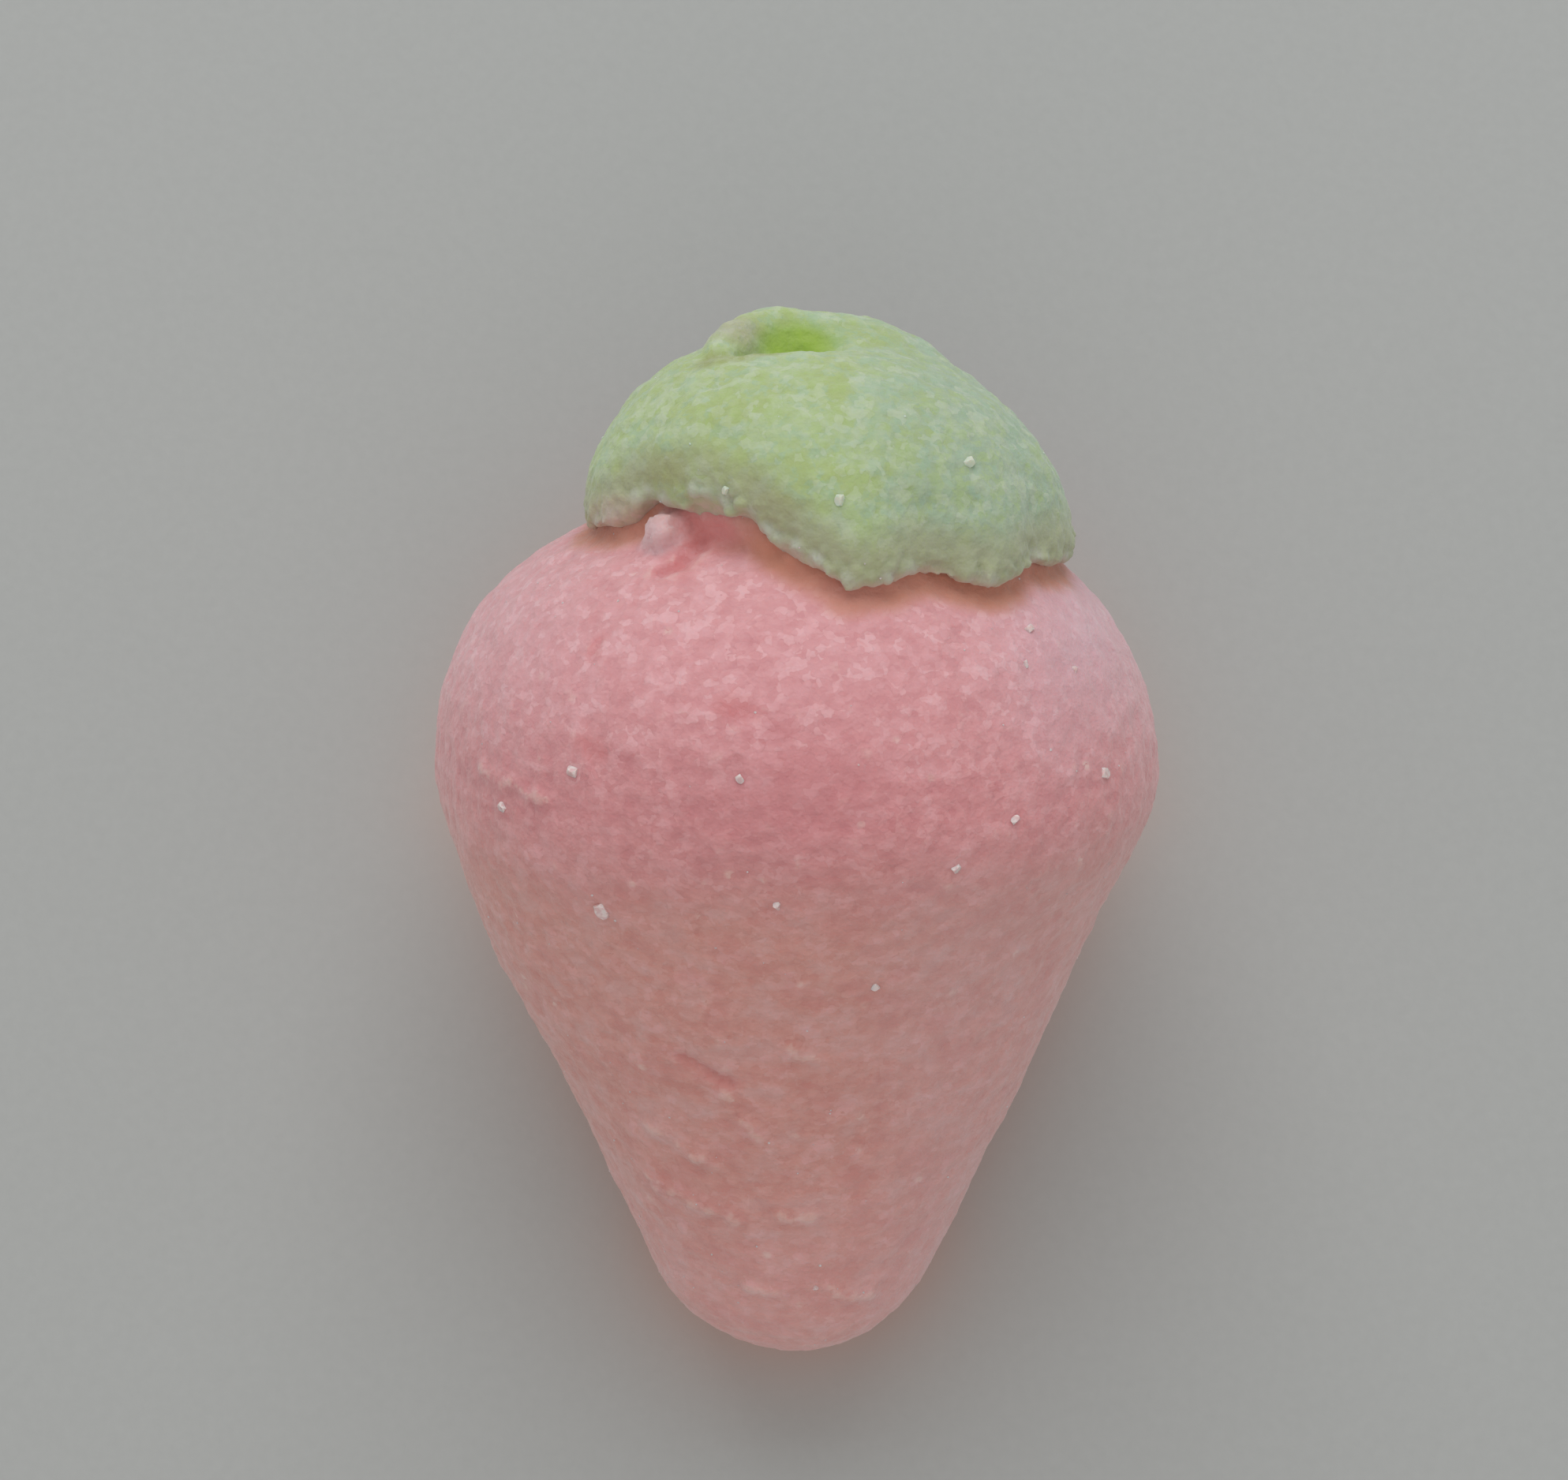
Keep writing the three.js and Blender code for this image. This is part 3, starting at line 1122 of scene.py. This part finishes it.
@dataclass
class GreenCap:
    """The dome with a crumbly, lobed edge and a folded nub.

    Rows of places are in millimetres. A row of the lip ends with a radius; a row of the pulls ends with how
    far the surface is pulled along the axis there and how far round it the surface follows. Crumbs lie up to
    an inset from the edge and a rise above it, in millimetres.
    """

    across: float = 1.4 * MM
    out: float = 1.0 * MM
    seat_drop: float = 0.45 * MM
    seat_radius: float = 7.2 * MM
    seat_facing: float = -0.25
    edge_slope: float = 0.5
    edge_height: float = 12 * MM
    voxel: float = 0.125 * MM
    crumb_gap: Pair = mm(0.3, 1.0)
    crumb_radius: Pair = mm(0.16, 0.34)
    crumb_inset: Pair = (0.0, 0.3)
    crumb_rise: Pair = (-0.15, 0.25)
    crumb_stretch: Pair = (0.7, 1.4)
    pale_share: float = 0.4
    notch: Triple = (-4.6, 11.9, 7.4)
    notch_calm: float = 0.6
    roughness: tuple[tuple[float, float, Pattern], ...] = (
        (2.4, 0.36, Pattern.CLOUDS), (0.9, 0.15, Pattern.CLOUDS), (0.5, 0.08, Pattern.CELLS),
    )
    pulls: tuple[tuple[float, ...], ...] = (
        (-3.6, 11.5, 8.6, 0.45, 1.7), (-1.8, 11.1, 9.0, 0.6, 1.6),
        (-5.3, 12.3, 7.3, -0.5, 1.3), (0.3, 18.0, 0.6, -0.5, 1.7),
    )
    lip: tuple[tuple[float, ...], ...] = (
        (-3.1, 17.75, 2.3, 0.75), (-2.85, 18.0, 1.5, 0.95), (-2.5, 18.2, 0.7, 1.05), (-2.0, 18.4, 0.0, 1.0),
        (-1.3, 18.6, -0.6, 0.85),
    )
    # Places along the painted shadow in the crease under the nub's lip.
    seam: tuple[Triple, ...] = (
        (-3.4, 17.6, 3.7), (-2.8, 17.65, 3.8), (-2.2, 17.7, 3.8), (-1.6, 17.75, 3.7), (-1.0, 17.8, 3.5),
    )
    finish: GreenFinish = GreenFinish()

    def edge(self, cap: Clay, steps: int = 240) -> np.ndarray:
        """The outermost low points of the cap, sector by sector.

        Args:
            cap: The cap.
            steps: Number of sectors.

        Returns:
            One row for each sector.
        """
        points = cap.points
        own = LIE.measure(points) - np.array([self.across, 0, self.out])
        radius = np.hypot(own[:, 0], own[:, 2]) - self.edge_slope * own[:, 1]
        sector = ((np.arctan2(own[:, 0], own[:, 2]) / math.tau + 0.5) * steps).astype(int) % steps
        members = [np.flatnonzero(sector == i) for i in range(steps)]
        return np.array([points[chosen[radius[chosen].argmax()]] for chosen in members if len(chosen)])

    def shape(self) -> Clay:
        """Softens the solid's form, curls the lip at the nub's hollow and trims the front notch.

        Returns:
            The cap without crumbs.
        """
        cap = Clay.solid("cap", "green_cap")
        balls = enumerate(self.lip)
        cap.join([Clay.ball(f"lip{i}", LIE.at(place), radius * MM) for i, (*place, radius) in balls])
        cap.remesh(2 * self.voxel, 6)
        for *place, pull, reach in self.pulls:
            cap.grab(LIE.at(place), LIE.axis * pull * MM, reach * MM)
        return cap

    def set_crumbs(self, cap: Clay, edge: np.ndarray) -> np.ndarray:
        """Sets a row of small crumbs on the edge.

        Args:
            cap: The cap.
            edge: The course of its edge.

        Returns:
            The places of the crumbs that stay pale.
        """
        draw = np.random.default_rng(5)
        middle = LIE.point(self.across, self.edge_height, self.out)
        crumbs, pale = [], []
        last, gap = Vector(edge[0]), 0.0
        for point in edge:
            place = Vector(point)
            if (place - last).length < gap:
                continue
            last, gap = place.copy(), draw.uniform(*self.crumb_gap)
            radius = draw.uniform(*self.crumb_radius)
            place += (middle - place).normalized() * draw.uniform(*self.crumb_inset) * MM
            place += LIE.axis * draw.uniform(*self.crumb_rise) * MM
            stretch = Vector(draw.uniform(*self.crumb_stretch, size=3))
            crumbs.append(Clay.ball(f"crumb{len(crumbs)}", place, radius, stretch))
            if draw.random() < self.pale_share:
                pale.append(place)
        cap.join(crumbs)
        return np.array(pale)

    def seat(self, cap: Clay) -> None:
        """Lets the underside down onto the body.

        Args:
            cap: The cap.
        """
        own = LIE.measure(cap.points) - np.array([self.across, 0, self.out])
        under = cap.normals @ np.array(LIE.axis) < self.seat_facing
        cap.pick(under & (np.hypot(own[:, 0], own[:, 2]) < self.seat_radius))
        with editing(cap.object):
            bpy.ops.transform.translate(value=-LIE.axis * self.seat_drop)

    def build(self) -> CapShape:
        """Makes the cap's mesh.

        Returns:
            The cap, without its finish.
        """
        cap = self.shape()
        edge = self.edge(cap)
        pale = self.set_crumbs(cap, edge)
        cap.remesh(self.voxel, 3)
        calm = self.notch_calm * cap.around([LIE.at(self.notch)], 3.0, 1.5)
        near_edge = cap.group("edge", cap.around(edge, 1.1, 0.4) * (1 - calm))
        cap.roughen(0.55, 0.4, Pattern.CLOUDS, near_edge)
        for size, height, kind in self.roughness:
            cap.roughen(size, height, kind)
        self.seat(cap)
        return CapShape(cap, edge, pale)

    def dress(self, shape: CapShape, body: Clay) -> Object:
        """Notes what the finish reads and gives the cap its finish.

        Args:
            shape: The cap.
            body: The body that it sits on.

        Returns:
            The finished piece.
        """
        cap = shape.clay
        cap.note_relief(0.06 * MM, 40)
        # Nearness to the edge, for the painted shade there.
        cap.note(Mark.RIM, cap.around(shape.edge, 3.2, 0.3))
        cap.note(Mark.CRUMB, cap.around(shape.pale_crumbs, 0.6, 0.2))
        # Painted shadow under the nub's lip, round the places above.
        cap.note(Mark.SEAM, cap.around([LIE.at(place) for place in self.seam], 1.3, 0.3))
        cap.note(Mark.CREVICE, cap.facing(body, 0.8, 0.2))
        return cap.complete(self.finish.material(), Slot.GREEN, "green_cap")


@dataclass
class PinkBody:
    """The soft cone with its round tip and shoulder, the lump and the low collar under the cap.

    Places, the lump's sizes and the ranges of the other folds, on the sides that face away, are in
    millimetres; the turns and lengths of those folds round the axis are in degrees.
    """

    tip_radius: float = 7.05 * MM
    tip_height: float = -27.3 * MM
    widest_radius: float = 15.9 * MM
    belly_radius: float = 7.0 * MM
    shoulder_radius: float = 11.1 * MM
    top_tilt: float = 83.0
    top_rise: float = 0.3 * MM
    lump: Triple = (-5.3, 10.9, 7.1)
    lump_radius: float = 0.8
    lump_stretch: Triple = (1.15, 1, 1)
    lump_grains: Pair = (0.32, 0.5)
    collar_height: float = 11 * MM
    collar_inset: float = 0.3 * MM
    voxel: float = 0.228 * MM
    waver: float = 0.12 * MM
    stations: int = 6
    other_heights: Pair = (-20, 0)
    other_turns: Pair = (100, 250)
    other_slants: Pair = (-1.2, 1.2)
    other_lengths: Pair = (8, 16)
    other_lifts: Triple = (-0.10, 0.10, 0.12)
    crease_shade: float = 0.45
    recess_shade: float = 0.75
    finish: PinkFinish = PinkFinish()
    folds: tuple[Fold, ...] = (
        Fold((-14.1, -36.6), (-15.1, -23.8), 0.15, 0.6),
        Fold((-14.9, -27.9), (-15.7, -19.3), 0.13, 0.6),
        Fold((-17.0, -42.2), (-17.6, -36.7), 0.14),
        Fold((-17.4, -33.4), (-18.4, -16.8), 0.17, 0.6),
        Fold((-12.0, -14.5), (-13.7, -8.4), 0.13),
        Fold((-18.1, -4.5), (-18.2, 5.2), 0.17),
        Fold((-22.2, 13.0), (-23.0, 29.2), 0.16),
        Fold((-22.1, -16.4), (-22.4, -3.4), 0.14),
        Fold((-9.6, -0.4), (-10.0, 5.3), 0.13),
        Fold((1.4, -56.5), (0.9, -39.9), 0.15),
    )
    creases: tuple[Fold, ...] = (
        Fold((-10.3, -22.5), (-11.3, -13.0), -0.2, 0.4),
        Fold((3.6, -33.7), (3.0, -29.5), -0.08),
        Fold((5.3, -11.1), (4.9, -6.2), -0.06),
        Fold((6.9, -36.4), (6.85, -36.2), -0.15, 0.35),
    )
    groove: tuple[Triple, ...] = (
        (-5.4, 9.65, 8.9), (-4.6, 9.9, 8.85), (-3.9, 10.5, 8.0), (-3.5, 10.9, 7.3), (-2.8, 10.9, 7.3),
    )
    recess: tuple[Triple, ...] = ((-4.3, 11.4, 7.0), (-3.9, 11.2, 7.0), (-3.4, 11.2, 7.2), (-3.0, 11.3, 7.7))

    def _arc(
        self, radius: float, height: float, bend: float, start: float, end: float, steps: int
    ) -> list[Vector]:
        """Stations along an arc of the outline, from one angle to another, in degrees from straight out."""
        angles = [math.radians(start + (end - start) * i / steps) for i in range(steps + 1)]
        return [LIE.point(0, height + bend * math.sin(a), radius + bend * math.cos(a)) for a in angles]

    def outline(self) -> list[Vector]:
        """Half of the body's section through its axis, from the tip to the middle of the top.

        Returns:
            The stations in their order.
        """
        flank = math.degrees(LIE.climb)
        belly = self.widest_radius - self.belly_radius
        shoulder = self.widest_radius - self.shoulder_radius
        tip = self._arc(0, self.tip_height + self.tip_radius, self.tip_radius, -90, -flank, 8)
        widest = self._arc(belly, 0, self.belly_radius, -flank, 0, 4)
        side = [tip[-1].lerp(widest[0], i / 10) for i in range(1, 10)]
        top = self._arc(shoulder, 0, self.shoulder_radius, 0, self.top_tilt, 10)
        return [*tip, *side, *widest, *top[1:], LIE.point(0, self.shoulder_radius + self.top_rise, 0)]

    def shape(self, edge: np.ndarray) -> Clay:
        """Spins the cone, fits it to its solid and melts the lump and the collar into it.

        Args:
            edge: The course of the cap's edge.

        Returns:
            The shaped body.
        """
        outline = self.outline()
        body = Clay.drop("body", outline[0])
        body.extrude_to(outline[1:])
        body.spin(96, LIE.middle, LIE.axis)
        body.finish_with("SUBSURF", levels=2, render_levels=2)
        solid = Clay.solid("solid", "pink_body")
        body.finish_with("SHRINKWRAP", target=solid.object, wrap_method="NEAREST_SURFACEPOINT")
        solid.discard()
        body.join([*self.shape_lump(), *self.shape_collar(body.tree(), edge)])
        body.remesh(self.voxel, 7)
        on_lump = body.group("lump", body.around([LIE.at(self.lump)], 1.5, 0.9))
        body.roughen(0.6, 0.5, Pattern.CLOUDS, on_lump)
        return body

    def shape_lump(self, count: int = 12, spread: float = 0.6) -> list[Clay]:
        """The small crumbly lump at the cap's left, as balls that melt together.

        Args:
            count: How many small balls lie round the large one.
            spread: How far from its middle they lie, in millimetres.

        Returns:
            The balls.
        """
        draw = np.random.default_rng(3)
        middle = LIE.at(self.lump)
        balls = [Clay.ball("lump", middle, self.lump_radius * MM, self.lump_stretch)]
        for i in range(count):
            away = Vector(draw.normal(size=3)).normalized() * spread * MM
            balls.append(Clay.ball(f"lump{i}", middle + away, draw.uniform(*self.lump_grains) * MM))
        return balls

    def shape_collar(self, tree: BVHTree, edge: np.ndarray) -> list[Clay]:
        """The low collar under the cap's edge, as a ring of balls that melt together.

        Args:
            tree: The body's surface.
            edge: The course of the cap's edge.

        Returns:
            The balls.
        """
        balls = []
        middle = LIE.point(GreenCap.across, self.collar_height, GreenCap.out)
        for i, point in enumerate(edge[::2]):
            rim = Vector(point)
            foot = tree.find_nearest(rim)[0]
            radius = self.collar_inset + 0.5 * (rim - foot).length
            inward = middle - rim
            inward = (inward - LIE.axis * inward.dot(LIE.axis)).normalized()
            place = foot.lerp(rim, 0.5) + inward * (self.collar_inset + radius)
            balls.append(Clay.ball(f"collar{i}", place, radius))
        return balls

    def wrinkle(self, body: Clay) -> list[Vector]:
        """Dents, folds and creases of the soft surface, with a flat spot where it lies.

        Args:
            body: The shaped body.

        Returns:
            Places along the creases, which get painted shade in deep pink.
        """
        body.roughen(5, 0.3)
        tree, draw = body.tree(), np.random.default_rng(4)
        deep = []
        for fold in (*self.folds, *self.creases, *self.other_folds()):
            path, outward = self.trace(fold, tree, draw)
            body.crease(path, outward * (fold.lift * MM), fold.width * MM)
            deep += path if fold in self.creases else []
        body.roughen(1.3, 0.11)
        body.roughen(0.7, 0.12, Pattern.CELLS)
        body.pick(body.points[:, 2] < 0.02 * MM)
        with editing(body.object):
            bpy.ops.transform.resize(value=(1, 1, 0), center_override=(0, 0, 0))
        return deep

    def trace(self, fold: Fold, tree: BVHTree, draw: np.random.Generator) -> tuple[list[Vector], Vector]:
        """Lays a fold's course on the surface, not quite straight.

        Args:
            fold: The fold.
            tree: The body's surface.
            draw: Where chance comes from.

        Returns:
            The course and its outward direction.
        """
        path, outward = [], Vector()
        for share in np.linspace(0, 1, self.stations):
            height, turn = np.array(fold.start) * (1 - share) + np.array(fold.end) * share
            sight = LIE.sight(turn, height * MM + draw.normal() * self.waver)
            place, normal, _, _ = tree.ray_cast(*sight)
            path.append(place)
            outward += normal
        return path, outward.normalized()

    def other_folds(self, count: int = 16) -> list[Fold]:
        """Folds like the named ones on the sides that face away.

        Args:
            count: How many there are.

        Returns:
            The folds.
        """
        draw = np.random.default_rng(8)
        folds = []
        for _ in range(count):
            height, turn = draw.uniform(*self.other_heights), draw.uniform(*self.other_turns)
            slant, wide = draw.uniform(*self.other_slants), draw.uniform(*self.other_lengths)
            lift = draw.choice(self.other_lifts)
            folds.append(Fold((height, turn), (height + slant, turn + wide), lift))
        return folds

    def build(self, edge: np.ndarray) -> BodyShape:
        """Makes the body's mesh, and last the deep groove that runs from beside the lump to the cap's notch.

        Args:
            edge: The course of the cap's edge.

        Returns:
            The body, without its finish.
        """
        body = self.shape(edge)
        creases = self.wrinkle(body)
        groove = [LIE.at(place) for place in self.groove]
        body.crease(groove, (LIE.axis + LIE.outward) * -0.28 * MM, 0.55 * MM)
        recess = [*groove[1:], *(LIE.at(place) for place in self.recess)]
        return BodyShape(body, np.array([*creases, groove[0]]), np.array(recess))

    def dress(self, shape: BodyShape, cap: Clay) -> Object:
        """Notes what the finish reads and gives the body its finish.

        Args:
            shape: The body.
            cap: The cap that shades it.

        Returns:
            The finished piece.
        """
        body = shape.clay
        body.note_relief(0.08 * MM, 30)
        # Painted shade: the band of the body along the cap's edge, which the finish darkens.
        body.note(Mark.CREVICE, body.facing(cap, 1.5, 0.6))
        # Painted shade: deep pink, faint along the creases and strong in the recess.
        faint = body.around(shape.creases, 0.7, 0.0) * self.crease_shade
        deep = body.around(shape.recess, 1.5, 0.2) * self.recess_shade
        body.note(Mark.BLUSH, np.maximum(faint, deep))
        return body.complete(self.finish.material(), Slot.PINK, "pink_body")


@dataclass
class SugarCrystals:
    """Loose sugar grains, half sunk into the foam: some large ones listed one by one and many small ones.

    Large grains are given by their height, their turn round the axis in degrees and their size, and those on
    the cap by their place and size, in millimetres; so are the heights between which the small ones lie.
    """

    count: int = 260
    heights: Pair = (-26, 17)
    sizes: Pair = mm(0.04, 0.09)
    stretch: Pair = (0.7, 1.3)
    corner: float = 0.34
    sunk: float = 0.15
    clear_of_table: float = 0.4 * MM
    finish: SugarFinish = SugarFinish()
    large: tuple[Triple, ...] = (
        (2.2, -34.6, 0.36), (0.1, -49.6, 0.304), (-3.6, -31.7, 0.56), (2.5, -7.9, 0.32), (0.4, 32.8, 0.36),
        (1.4, 53.0, 0.4), (-1.3, 23.4, 0.304), (-6.6, 13.9, 0.28), (-2.7, -2.6, 0.336), (-22.1, 7.8, 0.208),
        (7.3, 46.6, 0.336), (6.1, 42.2, 0.24), (5.5, 53.8, 0.336), (3.2, 118.0, 0.36), (-5.0, 147.0, 0.4),
        (-12.0, 95.0, 0.32), (1.0, 236.0, 0.36), (-9.0, 262.0, 0.32), (-16.0, 214.0, 0.28),
    )
    on_cap: tuple[tuple[float, ...], ...] = (
        (1.8, 12.8, 11.0, 0.32), (-2.8, 13.0, 9.3, 0.288), (7.1, 14.0, 8.2, 0.36),
    )

    def grain(self) -> tuple[np.ndarray, list[tuple[int, ...]]]:
        """Models one grain: a cube with cut corners.

        Returns:
            Its vertices, one row each and about 1 across, and its faces.
        """
        clay = Clay(added(bpy.ops.mesh.primitive_cube_add, size=1), "grain")
        with editing(clay.object):
            bpy.ops.mesh.select_all(action="SELECT")
            bpy.ops.mesh.bevel(offset=self.corner, offset_type="OFFSET", segments=1, affect="VERTICES")
        shape = clay.points, [tuple(face.vertices) for face in clay.object.data.polygons]
        clay.discard()
        return shape

    def places(self, skins: Sequence[BVHTree]) -> list[tuple[Vector, float]]:
        """Finds where each grain lies, and its size.

        Args:
            skins: The surfaces of the body and the cap.

        Returns:
            A list of places and sizes.
        """
        draw = np.random.default_rng(12)
        spots = [(turn, height * MM, size * MM) for height, turn, size in self.large]
        for _ in range(self.count):
            height = draw.uniform(*self.heights) * MM
            spots.append((draw.uniform(0, 360), height, draw.uniform(*self.sizes)))
        found = []
        for turn, height, size in spots:
            hits = [skin.ray_cast(*LIE.sight(turn, height)) for skin in skins]
            hits = [hit for hit in hits if hit[0] is not None]
            if hits:
                place, outward, _, _ = min(hits, key=lambda hit: hit[3])
                found.append((place - outward * size * self.sunk, size))
        for *place, size in self.on_cap:
            found.append((skins[1].find_nearest(LIE.at(place))[0], size * MM))
        return [(place, size) for place, size in found if place.z > self.clear_of_table]

    def build(self, skins: Sequence[BVHTree]) -> Clay:
        """Makes all grains as one mesh.

        Args:
            skins: The surfaces of the body and the cap.

        Returns:
            The grains, without their finish.
        """
        draw = np.random.default_rng(21)
        shape, faces = self.grain()
        rows, sides = [], []
        for place, size in self.places(skins):
            stretch = draw.uniform(*self.stretch, size=3)
            turned = np.linalg.qr(draw.normal(size=(3, 3)))[0]
            turned[:, 0] *= np.sign(np.linalg.det(turned))
            sides += [tuple(corner + len(rows) * len(shape) for corner in face) for face in faces]
            rows.append((shape * stretch * size) @ turned.T + np.array(place))
        mesh = bpy.data.meshes.new("sugar")
        mesh.from_pydata(np.concatenate(rows).tolist(), [], sides)
        grains = bpy.data.objects.new("sugar", mesh)
        bpy.context.collection.objects.link(grains)
        return Clay(grains, "sugar")

    def dress(self, grains: Clay) -> Object:
        """Gives the grains their finish.

        Args:
            grains: The grains.

        Returns:
            The finished piece.
        """
        piece = grains.complete(self.finish.material(), Slot.SUGAR)
        bpy.ops.object.shade_flat()
        return piece


# ---- table, light and camera


@dataclass(frozen=True)
class Lamp:
    """A soft square light that faces the marshmallow; its power is in watts."""

    name: str
    place: Triple
    width: float
    power: float
    colour: Triple

    def build(self) -> None:
        """Hangs it up."""
        lamp = added(bpy.ops.object.light_add, type="AREA", location=self.place)
        lamp.name = self.name
        lamp.data.size = self.width
        lamp.data.energy = self.power
        lamp.data.color = self.colour
        lamp.rotation_euler = (LIE.middle - Vector(self.place)).to_track_quat("-Z", "Y").to_euler()


@dataclass
class Studio:
    """The pale table, soft light from behind and above, and the camera that looks down."""

    table_width: float = 1.6
    lamps: tuple[Lamp, ...] = (
        Lamp("key", (-0.02, 0.36, 0.34), 0.45, 1.2, (0.97, 0.98, 1.0)),
        Lamp("fill", (0.0, -0.42, 0.40), 0.5, 0.36, (1.0, 0.95, 0.90)),
    )
    room_colour: Colour = (0.97, 0.99, 1.0, 1.0)
    room_strength: float = 0.47
    camera_place: tuple[float, ...] = mm(-0.64, -22.35, 143.82)
    camera_elevation: float = 78.4
    focal_length: float = 68.49
    sensor_width: float = 36.0
    finish: TableFinish = TableFinish()

    def build(self) -> None:
        """Makes the table, the lights and the camera."""
        table = added(bpy.ops.mesh.primitive_plane_add, size=self.table_width)
        table.name = "table"
        table.data.materials.append(self.finish.material())
        table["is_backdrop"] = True
        for lamp in self.lamps:
            lamp.build()
        self.surroundings()
        self.camera()

    def surroundings(self) -> None:
        """Even light from the room."""
        world = bpy.data.worlds.new("room")
        world.use_nodes = True
        sky = world.node_tree.nodes["Background"]
        sky.inputs["Color"].default_value = self.room_colour
        sky.inputs["Strength"].default_value = self.room_strength
        bpy.context.scene.world = world

    def camera(self) -> None:
        """The camera, which looks down along the marshmallow's upper side."""
        tilt = math.radians(90 - self.camera_elevation)
        camera = added(bpy.ops.object.camera_add, location=self.camera_place, rotation=(tilt, 0, 0))
        camera.data.lens = self.focal_length
        camera.data.sensor_width = self.sensor_width
        camera.data.clip_start = MM
        bpy.context.scene.camera = camera


def main() -> None:
    """Builds and dresses the marshmallow, piece by piece."""
    logging.basicConfig(level=logging.INFO, format="%(relativeCreated)d ms %(message)s")
    bpy.context.scene.view_settings.view_transform = "Standard"
    pink, green, sugar = PinkBody(), GreenCap(), SugarCrystals()
    cap = green.build()
    LOG.info("cap: %d vertices", len(cap.clay.points))
    body = pink.build(cap.edge)
    LOG.info("body: %d vertices", len(body.clay.points))
    grains = sugar.build([body.clay.tree(), cap.clay.tree()])
    LOG.info("sugar: %d vertices", len(grains.points))
    pink.dress(body, cap.clay)
    green.dress(cap, body.clay)
    sugar.dress(grains)
    LOG.info("dressed")
    Studio().build()
    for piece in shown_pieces():
        LOG.info("%s has %d triangles", piece.name, sum(len(p.vertices) - 2 for p in piece.data.polygons))


if __name__ == "__main__":
    main()
